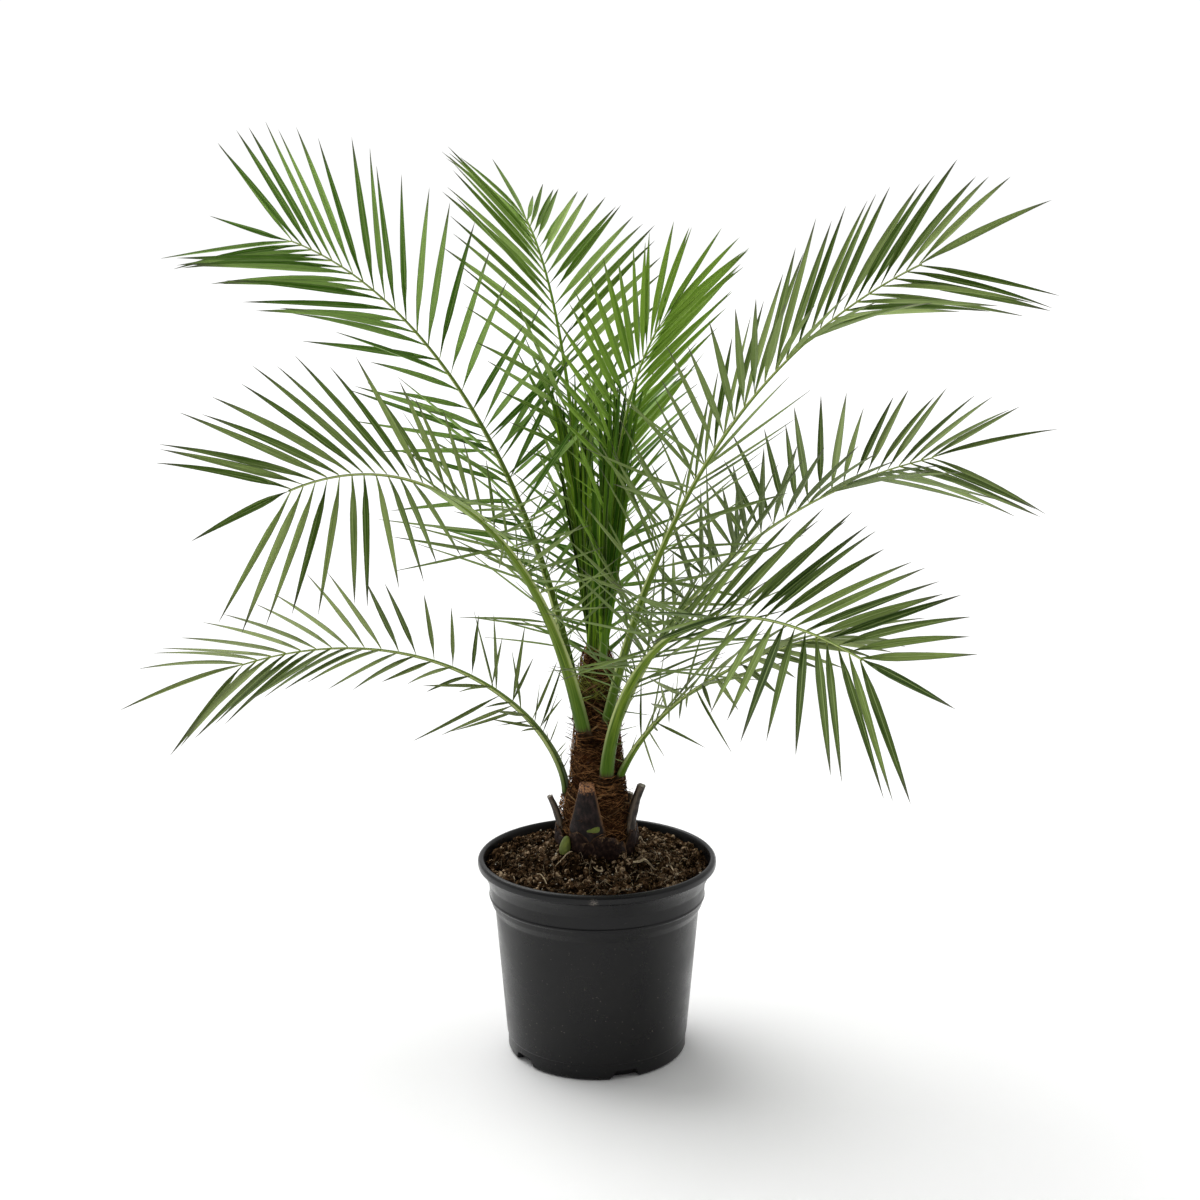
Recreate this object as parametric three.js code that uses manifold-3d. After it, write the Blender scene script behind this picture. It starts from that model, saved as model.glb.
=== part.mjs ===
// A young Canary Island date palm in a round black nursery pot.
// Millimetres, +Z up, +X to the right and +Y away from the viewer.
// The origin is the middle of the pot's flat underside, so z = 0 is what it stands on.
import * as THREE from "three";
import { mergeVertices } from "three/addons/utils/BufferGeometryUtils.js";
import Module from "manifold-3d";

const wasm = await Module();
wasm.setup();

// Driving dimensions

// Room left between neighbouring pieces.
const CLEARANCE = 0.35;

// The pot: rolled rim, plain collar, tapered body and a foot band with drain notches.
const POT = {
  height: 203,
  rimRadius: 120.5,
  rimDepth: 8,
  rimWidth: 6.5,
  flare: 18,
  collarRadius: 109.2,
  collarFoot: 161,
  bodyTopRadius: 103.4,
  bodyTop: 149,
  bandTopRadius: 92.3,
  bandTop: 17,
  footRadius: 91.2,
  wall: 2,
  floor: 2.5,
  padRadius: 60,
  ringInner: 79,
  step: 2,
  channelHeight: 11,
  segments: 44,
};
const NOTCHES = { count: 5, first: -71.5, height: 9.5, top: 21, bottom: 32, depth: 14, proud: 2 };

// The compost: it meets the wall just below the rim and is heaped up round the trunk.
const SOIL = {
  wallLevel: 196,
  wallRadius: 113.1,
  dip: 195,
  dipRadius: 98,
  bed: 198,
  bedRadius: 68,
  heap: 211,
  heapRadius: 42,
};

// The trunk: its radius at each height, from the flat cut on the compost to its tip.
const TRUNK = {
  profile: [
    [201, 31],
    [212, 34],
    [226, 35.5],
    [240, 34],
    [259, 30.5],
    [281, 26],
    [322, 22.5],
    [351, 20],
    [385, 16.5],
    [405, 14.5],
    [416, 11],
    [422, 7],
  ],
  segments: 22,
};

// Cut leaf bases round the foot of the trunk. Angles are headings seen from above.
const BOOTS = {
  boot_left: { heading: 188, foot: 224, top: 266, reach: 19, width: 16, tip: 9, depth: 6 },
  boot_front: { heading: 251, foot: 224, top: 286, reach: 5, width: 38, tip: 16, depth: 8 },
  boot_right: { heading: 338, foot: 224, top: 281, reach: 22, width: 16, tip: 10, depth: 8 },
  boot_back_right: { heading: 30, foot: 226, top: 262, reach: 8, width: 24, tip: 13, depth: 6 },
  boot_back: { heading: 72, foot: 224, top: 260, reach: 13, width: 18, tip: 10, depth: 6 },
  boot_back_left: { heading: 114, foot: 226, top: 264, reach: 7, width: 24, tip: 13, depth: 6 },
};
const BOOT = { curve: 1.6, narrowing: 0.8, footDepth: 2 };

// The fronds. heading: direction from above in degrees, anticlockwise from +X, and swing:
// its turn from foot to tip. rise: angle above level at the foot, droop: how far it falls
// by the tip, bow: how late. foot: height on the trunk. Pairs of values run from the foot
// of the blade to its tip: roll turns the blade about its rib, lift raises the leaflets
// out of its plane and spread is their angle to the rib. sag: degrees by which the first
// leaflets of one side hang wider, on the left of the rib where it is positive, else on
// the right. twist turns each leaflet about its own length. leaflet: length of the
// longest, reached at the share full of the blade. bare: share of the rib with no
// leaflets. stalk: half width at the foot. folded: leaflets still shut along the stalk.
const FRONDS = {
  upper_left: {
    heading: 142, swing: 0, rise: 75, droop: 61, bow: 1.3, length: 635, foot: 359,
    roll: [-5, -75], lift: [50, 44], spread: [84, 42], sag: 0, twist: -20,
    leaflet: 162, full: 0.45, bare: 0.3, pairs: 22, stalk: 5.8, folded: 0,
  },
  mid_left: {
    heading: 240, swing: 0, rise: 69, droop: 78, bow: 1.2, length: 565, foot: 341,
    roll: [9, -73], lift: [56, -25], spread: [55, 28], sag: 36, twist: 15,
    leaflet: 134, full: 0.6, bare: 0.36, pairs: 20, stalk: 8.2, folded: 0,
  },
  lower_left: {
    heading: 155, swing: 45, rise: 95, droop: 109, bow: 0.5, length: 395, foot: 264,
    roll: [-24, -17], lift: [23, -11], spread: [75, 41], sag: 0, twist: -5,
    leaflet: 150, full: 0.9, bare: 0.18, pairs: 18, stalk: 5.8, folded: 0,
  },
  top_left: {
    heading: 106, swing: 5, rise: 76, droop: 44, bow: 2.55, length: 500, foot: 397,
    roll: [-53, 24], lift: [43, -9], spread: [72, 25], sag: 0, twist: -10,
    leaflet: 148, full: 0.45, bare: 0.32, pairs: 23, stalk: 4, folded: 9,
  },
  top_right: {
    heading: 290, swing: 30, rise: 84, droop: 30, bow: 2.8, length: 345, foot: 406,
    roll: [13, -32], lift: [35, -23], spread: [58, 12], sag: 0, twist: 0,
    leaflet: 131, full: 0.45, bare: 0.44, pairs: 18, stalk: 4, folded: 9,
  },
  upper_right: {
    heading: -66, swing: 55, rise: 65, droop: 39, bow: 2.3, length: 565, foot: 350,
    roll: [-70, 61], lift: [65, -25], spread: [55, 37], sag: 0, twist: 20,
    leaflet: 141, full: 0.45, bare: 0.36, pairs: 24, stalk: 5.8, folded: 0,
  },
  mid_right: {
    heading: 50, swing: -60, rise: 56, droop: 42, bow: 1.1, length: 460, foot: 327,
    roll: [-70, 37], lift: [65, -22], spread: [90, 39], sag: 0, twist: 15,
    leaflet: 155, full: 0.45, bare: 0.34, pairs: 21, stalk: 5.5, folded: 0,
  },
  lower_right: {
    heading: -72, swing: 5, rise: 86, droop: 92, bow: 0.5, length: 595, foot: 295,
    roll: [-40, 70], lift: [55, -12], spread: [57, 24], sag: -22, twist: 25,
    leaflet: 137, full: 0.45, bare: 0.24, pairs: 23, stalk: 7.4, folded: 0,
  },
  low_right: {
    heading: -38, swing: 30, rise: 65, droop: 51, bow: 0.85, length: 265, foot: 292,
    roll: [40, -15], lift: [0, -19], spread: [76, 41], sag: 0, twist: -15,
    leaflet: 117, full: 0.45, bare: 0.36, pairs: 13, stalk: 5.4, folded: 0,
  },
  back: {
    heading: 88, swing: -8, rise: 80, droop: 66, bow: 1.1, length: 430, foot: 318,
    roll: [10, -10], lift: [45, 15], spread: [72, 30], sag: 0, twist: -10,
    leaflet: 125, full: 0.45, bare: 0.3, pairs: 19, stalk: 5, folded: 0,
  },
};

// Rib and leaflet rules that every frond shares.
const RIB = { tip: 1.2, taper: 1.7, flatness: 0.75, steps: 11, split: 0.46, standoff: 0.75 };
const LEAFLET = {
  crowding: 0.75,
  firstLength: 0.3,
  endFrom: 0.75,
  endShortening: 0.14,
  sagShortening: 0.011,
  sagFading: 0.55,
  heel: 6,
  widest: 0.32,
  width: [2, 0.054],
  thickness: [0.9, 1 / 120],
  spreadJitter: 3,
  liftJitter: 6,
  lengthJitter: 0.05,
};
const LAST_LEAFLET = { share: 0.998, spread: 2, length: 0.84 };
const FOLDED = {
  from: 0.05,
  spread: 7,
  spreadJitter: 3,
  length: 165,
  lengthJitter: 0.12,
  lift: 10,
  liftJitter: 40,
};
const SPEAR = { bottom: 423, top: 596, radius: 5, tip: 0.9, taper: 1.5, lean: 5 };

// Materials

const material = (name, colour, roughness) =>
  new THREE.MeshStandardMaterial({ name, color: colour, roughness, metalness: 0 });
const MATERIALS = {
  pot: material("pot", 0x17181a, 0.45),
  soil: material("soil", 0x2e1f15, 0.95),
  trunk: material("trunk", 0x4a2c1c, 0.9),
  boot: material("boot", 0x5a4030, 0.8),
  frond: material("frond", 0x3c6420, 0.5),
  young: material("young", 0x4f8a1c, 0.5),
};

// Solids

const DEGREE = Math.PI / 180;
const lerp = THREE.MathUtils.lerp;

// A repeatable value from -1 to 1 for each seed.
function noise(seed) {
  const wave = Math.sin(seed * 12.9898 + 4.1414) * 43758.5453;
  return 2 * (wave - Math.floor(wave)) - 1;
}

function solidOf(geometry) {
  const bare = geometry.clone();
  bare.deleteAttribute("normal");
  bare.deleteAttribute("uv");
  const merged = mergeVertices(bare, 1e-4);
  return new wasm.Manifold(
    new wasm.Mesh({
      numProp: 3,
      vertProperties: merged.attributes.position.array,
      triVerts: new Uint32Array(merged.index.array),
    }),
  );
}

function meshOf(name, solid, look) {
  const made = solid.getMesh();
  const geometry = new THREE.BufferGeometry();
  geometry.setAttribute("position", new THREE.BufferAttribute(made.vertProperties, 3));
  geometry.setIndex(new THREE.BufferAttribute(made.triVerts, 1));
  geometry.computeVertexNormals();
  const mesh = new THREE.Mesh(geometry, look);
  mesh.name = name;
  return mesh;
}

// A profile of [height, radius] pairs turned about the vertical axis.
function turned(profile, segments) {
  const points = profile.map(([height, radius]) => new THREE.Vector2(radius, height));
  return new THREE.LatheGeometry(points, segments).rotateX(Math.PI / 2);
}

// A solid bar that follows frameAt(share), which gives its middle, its two side directions
// and its half sizes along them. It starts as a cylinder of one unit.
function bentBar(frameAt, sides, steps, from = 0, to = 1) {
  const geometry = new THREE.CylinderGeometry(1, 1, 1, sides, steps);
  const position = geometry.attributes.position;
  for (let i = 0; i < position.count; i++) {
    const frame = frameAt(lerp(from, to, 0.5 - position.getY(i)));
    const point = frame.middle
      .clone()
      .addScaledVector(frame.side, position.getX(i) * frame.halfWidth)
      .addScaledVector(frame.face, position.getZ(i) * frame.halfDepth);
    position.setXYZ(i, point.x, point.y, point.z);
  }
  return geometry;
}

// Pot and compost

function innerRadius(height) {
  const outer = lerp(
    POT.bandTopRadius,
    POT.bodyTopRadius,
    (height - POT.bandTop) / (POT.bodyTop - POT.bandTop),
  );
  return outer - POT.wall;
}

function potProfile() {
  const lip = POT.height - POT.rimDepth;
  const collarTop = lip - POT.flare;
  const rimInner = POT.rimRadius - POT.rimWidth;
  const inside = POT.collarRadius - POT.wall;
  return [
    [0, 0],
    [0, POT.padRadius],
    [POT.channelHeight, POT.padRadius + POT.step],
    [POT.channelHeight, POT.ringInner],
    [0, POT.ringInner + 1],
    [0, POT.footRadius - 2.5],
    [2.5, POT.footRadius],
    [POT.bandTop - 0.5, POT.bandTopRadius - 0.9],
    [POT.bandTop, POT.bandTopRadius],
    [POT.bodyTop, POT.bodyTopRadius],
    [POT.collarFoot - 4, POT.collarRadius - 1.8],
    [POT.collarFoot, POT.collarRadius - 0.8],
    [collarTop, POT.collarRadius + 0.3],
    [collarTop + 9, POT.collarRadius + 4.5],
    [lip - 1.5, POT.rimRadius - 3],
    [lip, POT.rimRadius - 0.6],
    [POT.height - 3, POT.rimRadius],
    [POT.height - 0.8, POT.rimRadius - 1.6],
    [POT.height, POT.rimRadius - 3.5],
    [POT.height - 0.6, rimInner + 1],
    [POT.height - 3, rimInner],
    [collarTop + 8, inside + 3.5],
    [collarTop, inside],
    [POT.collarFoot, inside - 0.8],
    [POT.bodyTop, innerRadius(POT.bodyTop)],
    [POT.channelHeight + POT.floor, innerRadius(POT.channelHeight + POT.floor)],
    [POT.channelHeight + POT.floor, POT.padRadius - POT.step],
    [POT.floor, POT.padRadius - 2 * POT.step],
    [POT.floor, 0],
  ];
}

function notchSolid(heading) {
  const outline = new THREE.Shape();
  outline.moveTo(-NOTCHES.bottom / 2, -1);
  outline.lineTo(NOTCHES.bottom / 2, -1);
  outline.lineTo(NOTCHES.top / 2, NOTCHES.height);
  outline.lineTo(-NOTCHES.top / 2, NOTCHES.height);
  outline.closePath();
  const prism = new THREE.ExtrudeGeometry(outline, { depth: NOTCHES.depth, bevelEnabled: false });
  prism.rotateX(Math.PI / 2);
  prism.rotateZ(Math.PI / 2);
  prism.translate(POT.footRadius - NOTCHES.depth + NOTCHES.proud, 0, 0);
  prism.rotateZ(heading * DEGREE);
  return solidOf(prism);
}

function potSolid() {
  let pot = solidOf(turned(potProfile(), POT.segments));
  for (let i = 0; i < NOTCHES.count; i++) {
    pot = pot.subtract(notchSolid(NOTCHES.first + (360 / NOTCHES.count) * i));
  }
  return pot;
}

function trunkSolid(extra = 0) {
  const first = TRUNK.profile[0];
  const last = TRUNK.profile[TRUNK.profile.length - 1];
  const profile = [
    [first[0] - extra, 0],
    [first[0] - extra, first[1] + extra],
    ...TRUNK.profile.slice(1, -1).map(([height, radius]) => [height, radius + extra]),
    [last[0] + extra, last[1] + extra],
    [last[0] + extra, 0],
  ];
  return solidOf(turned(profile, TRUNK.segments));
}

function soilSolid() {
  const gap = CLEARANCE;
  const ledge = POT.channelHeight + POT.floor + gap;
  const collar = POT.collarRadius - POT.wall - gap;
  const profile = [
    [POT.floor + gap, 0],
    [POT.floor + gap, POT.padRadius - 2 * POT.step - gap],
    [ledge, POT.padRadius - POT.step - gap],
    [ledge, innerRadius(ledge) - gap],
    [POT.bodyTop, innerRadius(POT.bodyTop) - gap],
    [POT.collarFoot, collar - 0.8],
    [POT.height - POT.rimDepth - POT.flare, collar],
    [SOIL.wallLevel, SOIL.wallRadius - gap],
    [SOIL.dip, SOIL.dipRadius],
    [SOIL.bed, SOIL.bedRadius],
    [SOIL.heap, SOIL.heapRadius],
    [SOIL.heap, 0],
  ];
  return solidOf(turned(profile, POT.segments)).subtract(trunkSolid(CLEARANCE));
}

// Limbs

function trunkRadius(height) {
  const rows = TRUNK.profile;
  const above = rows.findIndex((row) => row[0] >= height);
  if (above <= 0) return rows[above === 0 ? 0 : rows.length - 1][1];
  const [low, high] = [rows[above - 1], rows[above]];
  return lerp(low[1], high[1], (height - low[0]) / (high[0] - low[0]));
}

// A cut leaf base: a flattened stub that leaves the trunk, curves up and ends in a cut.
function bootSolid(boot) {
  const out = new THREE.Vector3(Math.cos(boot.heading * DEGREE), Math.sin(boot.heading * DEGREE), 0);
  const side = new THREE.Vector3(out.y, -out.x, 0);
  const frameAt = (share) => {
    const height = lerp(boot.foot, boot.top, share);
    const radius = trunkRadius(height) + boot.reach * share ** BOOT.curve;
    const middle = out.clone().multiplyScalar(radius).setZ(height);
    const slope = (boot.reach * BOOT.curve * share ** (BOOT.curve - 1)) / (boot.top - boot.foot);
    const tilt = Math.atan(slope);
    const face = out.clone().multiplyScalar(Math.cos(tilt)).setZ(-Math.sin(tilt));
    return {
      middle,
      side,
      face,
      halfWidth: lerp(boot.width, boot.tip, share ** BOOT.narrowing) / 2,
      halfDepth: lerp(boot.depth + BOOT.footDepth, boot.depth, share) / 2,
    };
  };
  return solidOf(bentBar(frameAt, 8, 5)).subtract(trunkSolid(CLEARANCE));
}

function spearSolid() {
  const frameAt = (share) => {
    const half = lerp(SPEAR.radius, SPEAR.tip, share ** SPEAR.taper);
    return {
      middle: new THREE.Vector3(SPEAR.lean * share ** 2, 0, lerp(SPEAR.bottom, SPEAR.top, share)),
      side: new THREE.Vector3(1, 0, 0),
      face: new THREE.Vector3(0, 1, 0),
      halfWidth: half,
      halfDepth: half,
    };
  };
  return solidOf(bentBar(frameAt, 6, 4));
}

// The rib of a frond, walked in short steps: its place and its three directions at each.
const RIB_WALK = 60;
function ribOf(frond) {
  const start = trunkRadius(frond.foot) + frond.stalk * RIB.standoff;
  const place = new THREE.Vector3(
    start * Math.cos(frond.heading * DEGREE),
    start * Math.sin(frond.heading * DEGREE),
    frond.foot,
  );
  const stations = [];
  for (let i = 0; i <= RIB_WALK; i++) {
    const share = i / RIB_WALK;
    const climb = (frond.rise - frond.droop * share ** frond.bow) * DEGREE;
    const heading = (frond.heading + frond.swing * share) * DEGREE;
    const along = new THREE.Vector3(
      Math.cos(climb) * Math.cos(heading),
      Math.cos(climb) * Math.sin(heading),
      Math.sin(climb),
    );
    const level = new THREE.Vector3(-Math.sin(heading), Math.cos(heading), 0);
    const upper = new THREE.Vector3().crossVectors(along, level);
    const roll = lerp(frond.roll[0], frond.roll[1], share) * DEGREE;
    const side = level.clone().multiplyScalar(Math.cos(roll)).addScaledVector(upper, Math.sin(roll));
    const face = upper.clone().multiplyScalar(Math.cos(roll)).addScaledVector(level, -Math.sin(roll));
    if (i > 0) {
      const middle = along.clone().add(stations[i - 1].along).normalize();
      place.addScaledVector(middle, frond.length / RIB_WALK);
    }
    stations.push({ place: place.clone(), along, side, face, level, upper });
  }
  return stations;
}

function ribAt(stations, share) {
  const at = THREE.MathUtils.clamp(share, 0, 1) * RIB_WALK;
  const low = Math.min(Math.floor(at), RIB_WALK - 1);
  const blend = (key) => stations[low][key].clone().lerp(stations[low + 1][key], at - low);
  return {
    place: blend("place"),
    along: blend("along").normalize(),
    side: blend("side").normalize(),
    face: blend("face").normalize(),
    level: blend("level").normalize(),
    upper: blend("upper").normalize(),
  };
}

function ribSolid(frond, stations, from, to) {
  const frameAt = (share) => {
    const rib = ribAt(stations, share);
    const half = lerp(RIB.tip, frond.stalk, (1 - share) ** RIB.taper);
    return {
      middle: rib.place,
      side: rib.level,
      face: rib.upper,
      halfWidth: half,
      halfDepth: half * RIB.flatness,
    };
  };
  return solidOf(bentBar(frameAt, 4, RIB.steps, from, to)).subtract(trunkSolid(CLEARANCE));
}

// Leaflets

// One leaflet: eight faces, sharp at its heel inside the rib and at its tip.
function leafletGeometry(leaf, swell = 0) {
  const width = LEAFLET.width[0] + LEAFLET.width[1] * leaf.length;
  const thickness = LEAFLET.thickness[0] + LEAFLET.thickness[1] * leaf.length;
  const geometry = new THREE.OctahedronGeometry(1, 0);
  const position = geometry.attributes.position;
  for (let i = 0; i < position.count; i++) {
    const [x, y, z] = [position.getX(i), position.getY(i), position.getZ(i)];
    const point = leaf.root.clone();
    if (x > 0.5) point.addScaledVector(leaf.direction, leaf.length + swell * 4);
    else if (x < -0.5) point.addScaledVector(leaf.along, -LEAFLET.heel);
    else {
      point.addScaledVector(leaf.direction, leaf.length * LEAFLET.widest);
      point.addScaledVector(leaf.across, y * (width / 2 + swell));
      point.addScaledVector(leaf.normal, z * (thickness / 2 + swell));
    }
    position.setXYZ(i, point.x, point.y, point.z);
  }
  return geometry;
}

function leafletAt({ rib, hand, spread, twist }, lift, length) {
  const outward = rib.side
    .clone()
    .multiplyScalar(hand * Math.cos(lift * DEGREE))
    .addScaledVector(rib.face, Math.sin(lift * DEGREE));
  const direction = rib.along
    .clone()
    .multiplyScalar(Math.cos(spread * DEGREE))
    .addScaledVector(outward, Math.sin(spread * DEGREE))
    .normalize();
  const across = rib.along
    .clone()
    .addScaledVector(direction, -rib.along.dot(direction))
    .normalize()
    .applyAxisAngle(direction, hand * twist * DEGREE);
  const normal = new THREE.Vector3().crossVectors(direction, across);
  return { root: rib.place, along: rib.along, direction, across, normal, length };
}

// Every leaflet of a frond, by rule, with its share of the way along the rib.
function leafletsOf(frond, stations, number) {
  const leaflets = [];
  for (const hand of [1, -1]) {
    for (let i = 0; i < frond.pairs; i++) {
      const seed = number * 1000 + i * 8 + (hand > 0 ? 4 : 0);
      const step = i / (frond.pairs - 1);
      const share = lerp(frond.bare, 0.995, step ** LEAFLET.crowding);
      const growth = Math.sin((Math.min(step / frond.full, 1) * Math.PI) / 2);
      const end = Math.max(0, (step - LEAFLET.endFrom) / (1 - LEAFLET.endFrom)) ** 2;
      const drooping = hand === Math.sign(frond.sag) ? Math.abs(frond.sag) : 0;
      const length =
        frond.leaflet *
        lerp(LEAFLET.firstLength, 1, growth) *
        (1 - LEAFLET.endShortening * end) *
        (1 - LEAFLET.sagShortening * drooping * (1 - step)) *
        (1 + LEAFLET.lengthJitter * noise(seed));
      const spread =
        lerp(...frond.spread, step) +
        drooping * (1 - LEAFLET.sagFading * step ** 2) +
        LEAFLET.spreadJitter * noise(seed + 1);
      const lift = lerp(...frond.lift, step) + LEAFLET.liftJitter * noise(seed + 2);
      leaflets.push({ share, hand, spread, lift, length });
    }
    for (let i = 0; i < frond.folded; i++) {
      const seed = number * 1000 + 500 + i * 8 + (hand > 0 ? 4 : 0);
      const share = lerp(FOLDED.from, frond.bare, i / frond.folded);
      const spread = FOLDED.spread + FOLDED.spreadJitter * noise(seed);
      const lift = FOLDED.lift + FOLDED.liftJitter * noise(seed + 1);
      const length = FOLDED.length * (1 + FOLDED.lengthJitter * noise(seed + 2));
      leaflets.push({ share, hand, spread, lift, length });
    }
  }
  const { share, spread, length } = LAST_LEAFLET;
  leaflets.push({ share, hand: 1, spread, lift: 0, length: frond.leaflet * length });
  return leaflets.map((leaf) => ({
    ...leaf,
    twist: frond.twist,
    rib: ribAt(stations, leaf.share),
  }));
}

// Small changes tried in turn until a leaflet is clear of every other piece.
const TILTS = [0, 7, -7, 14, -14];
const TRIMS = [1, 0.85, 0.7, 0.55];

// Space that pieces already take: their solids and boxes, by piece.
const taken = [];
function take(owner, geometry, solid) {
  geometry.computeBoundingBox();
  taken.push({ owner, box: geometry.boundingBox, solid });
}

function isClear(owner, geometry) {
  geometry.computeBoundingBox();
  const near = taken.filter(
    (other) => other.owner !== owner && other.box.intersectsBox(geometry.boundingBox),
  );
  if (!near.length) return true;
  const swollen = solidOf(geometry);
  return near.every((other) => swollen.intersect(other.solid).isEmpty());
}

// The leaflet as near to its rule as its neighbours allow, or nothing.
function fittedLeaflet(owner, ruled) {
  for (const trim of TRIMS) {
    for (const tilt of TILTS) {
      const leaf = leafletAt(ruled, ruled.lift + tilt, ruled.length * trim);
      if (isClear(owner, leafletGeometry(leaf, CLEARANCE))) {
        const geometry = leafletGeometry(leaf);
        const solid = solidOf(geometry);
        take(owner, geometry, solid);
        return solid;
      }
    }
  }
  return null;
}

// Assembly

const palm = new THREE.Group();
palm.name = "potted_date_palm";

function place(name, solid, look) {
  const mesh = meshOf(name, solid, look);
  palm.add(mesh);
  take(name, mesh.geometry.clone(), solid);
}

place("pot", potSolid(), MATERIALS.pot);
place("soil", soilSolid(), MATERIALS.soil);
place("trunk", trunkSolid(), MATERIALS.trunk);
place("spear", spearSolid(), MATERIALS.young);
for (const [name, boot] of Object.entries(BOOTS)) {
  place(name, bootSolid(boot), MATERIALS.boot);
}

// Each frond is two pieces, parted where it arches over: its stalk and its blade.
const fronds = Object.entries(FRONDS).map(([name, frond], index) => {
  const stations = ribOf(frond);
  const part = CLEARANCE / frond.length;
  const pieces = [
    { name: `frond_${name}_stalk`, solid: ribSolid(frond, stations, 0, RIB.split - part) },
    { name: `frond_${name}_blade`, solid: ribSolid(frond, stations, RIB.split, 1) },
  ];
  for (const piece of pieces) {
    take(piece.name, meshOf(piece.name, piece.solid, MATERIALS.frond).geometry, piece.solid);
  }
  return { frond, pieces, leaflets: leafletsOf(frond, stations, index + 1) };
});

for (const { frond, pieces, leaflets } of fronds) {
  const heelShare = LEAFLET.heel / frond.length;
  for (const leaf of leaflets) {
    if (leaf.share > RIB.split && leaf.share < RIB.split + heelShare) continue;
    const piece = leaf.share <= RIB.split ? pieces[0] : pieces[1];
    const solid = fittedLeaflet(piece.name, leaf);
    if (solid) piece.solid = piece.solid.add(solid);
  }
  const look = frond.folded ? MATERIALS.young : MATERIALS.frond;
  for (const piece of pieces) palm.add(meshOf(piece.name, piece.solid, look));
}

export default palm;
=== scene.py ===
"""A young Canary Island date palm in a black nursery pot, dressed and lit for a studio picture.

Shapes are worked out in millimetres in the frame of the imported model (+X right, +Y away from
the viewer, +Z up, origin under the middle of the pot) and written out in metres.
"""
import logging
from dataclasses import dataclass, field
from enum import Enum, IntEnum
from typing import Sequence

import bpy
import numpy as np
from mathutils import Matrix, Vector


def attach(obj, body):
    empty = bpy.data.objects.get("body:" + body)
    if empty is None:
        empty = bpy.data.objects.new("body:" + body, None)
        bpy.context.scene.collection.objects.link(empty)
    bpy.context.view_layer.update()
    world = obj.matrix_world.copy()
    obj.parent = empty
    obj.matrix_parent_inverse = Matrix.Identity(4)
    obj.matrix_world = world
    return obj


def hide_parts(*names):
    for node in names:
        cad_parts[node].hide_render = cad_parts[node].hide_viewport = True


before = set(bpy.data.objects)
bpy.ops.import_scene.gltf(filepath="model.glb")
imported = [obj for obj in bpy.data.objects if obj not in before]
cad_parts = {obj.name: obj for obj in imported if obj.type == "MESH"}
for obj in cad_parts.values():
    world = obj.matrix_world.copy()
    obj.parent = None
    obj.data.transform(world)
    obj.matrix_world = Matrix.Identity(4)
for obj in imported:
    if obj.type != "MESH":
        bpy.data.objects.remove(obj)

logging.basicConfig(level=logging.INFO, format="%(message)s")
log = logging.getLogger("palm")

MILLIMETRE = 0.001
GOLDEN_ANGLE = 137.5
Colour = tuple[float, float, float]
Place = tuple[float, float, float]
Span = tuple[float, float]
Array = np.ndarray


class Seed(IntEnum):
    """Which random pattern each piece draws from, so that it comes out the same every time."""

    TRUNK = 3
    THORNS = 5
    FIBRE = 11
    CUT_FACE = 17
    LEAF_BASE = 23
    SHEATH_EDGES = 29
    YOUNG_FIBRE = 37
    COMPOST_SWELL = 41
    COMPOST_CLODS = 43
    CRUMB_TONE = 47
    SCALES = 61
    SCALE_RELIEF = 67
    CRUMBS = 71
    PERLITE = 73
    ROOTS = 83


# Numbers and vectors

WAVE_RATE, WAVE_START, WAVE_HEIGHT = 12.9898, 4.1414, 43758.5453
LATTICE_KEYS = (73856093, 19349663, 83492791)
SEED_KEY, MIX_KEY = 40503, 1274126177
LOW_BITS, HALF_RANGE = 0xFFFFFFFF, 0x7FFFFFFF


def noise(seed: Array | float) -> Array:
    """A repeatable value from -1 to 1 for each seed: what a large sine leaves past its whole number."""
    wave = np.sin(np.asarray(seed, float) * WAVE_RATE + WAVE_START) * WAVE_HEIGHT
    return 2 * (wave - np.floor(wave)) - 1


def mix(first: Array | float, last: Array | float, share: Array | float) -> Array:
    """The value a share of the way from first to last."""
    return first + (last - first) * share


def unit(vectors: Array) -> Array:
    """The same directions, each of length one."""
    return vectors / np.linalg.norm(vectors, axis=-1, keepdims=True)


def column(values: Array) -> Array:
    """Values as a column, to scale rows of vectors."""
    return np.asarray(values, float)[..., None]


def turned(vectors: Array, axes: Array, degrees: Array) -> Array:
    """Vectors square to their axes, turned about them: v cos a + (axis x v) sin a."""
    angle = column(np.radians(degrees))
    return vectors * np.cos(angle) + np.cross(axes, vectors) * np.sin(angle)


def polar(radius: Array, heading: Array, height: Array) -> Array:
    """Points round the upright axis: (radius cos a, radius sin a, height).

    Args:
        radius: Distance from the axis.
        heading: The angle a, in degrees anticlockwise from +X.
        height: Height over the ground.

    Returns:
        Points (..., 3), in the shape that the three values share.
    """
    angle = np.radians(heading)
    radius, angle, height = np.broadcast_arrays(radius, angle, height)
    return np.stack([radius * np.cos(angle), radius * np.sin(angle), height], axis=-1)


def ease(value: Array) -> Array:
    """A soft step: 3t^2 - 2t^3 for t held between 0 and 1."""
    held = np.clip(value, 0, 1)
    return held * held * (3 - 2 * held)


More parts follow.
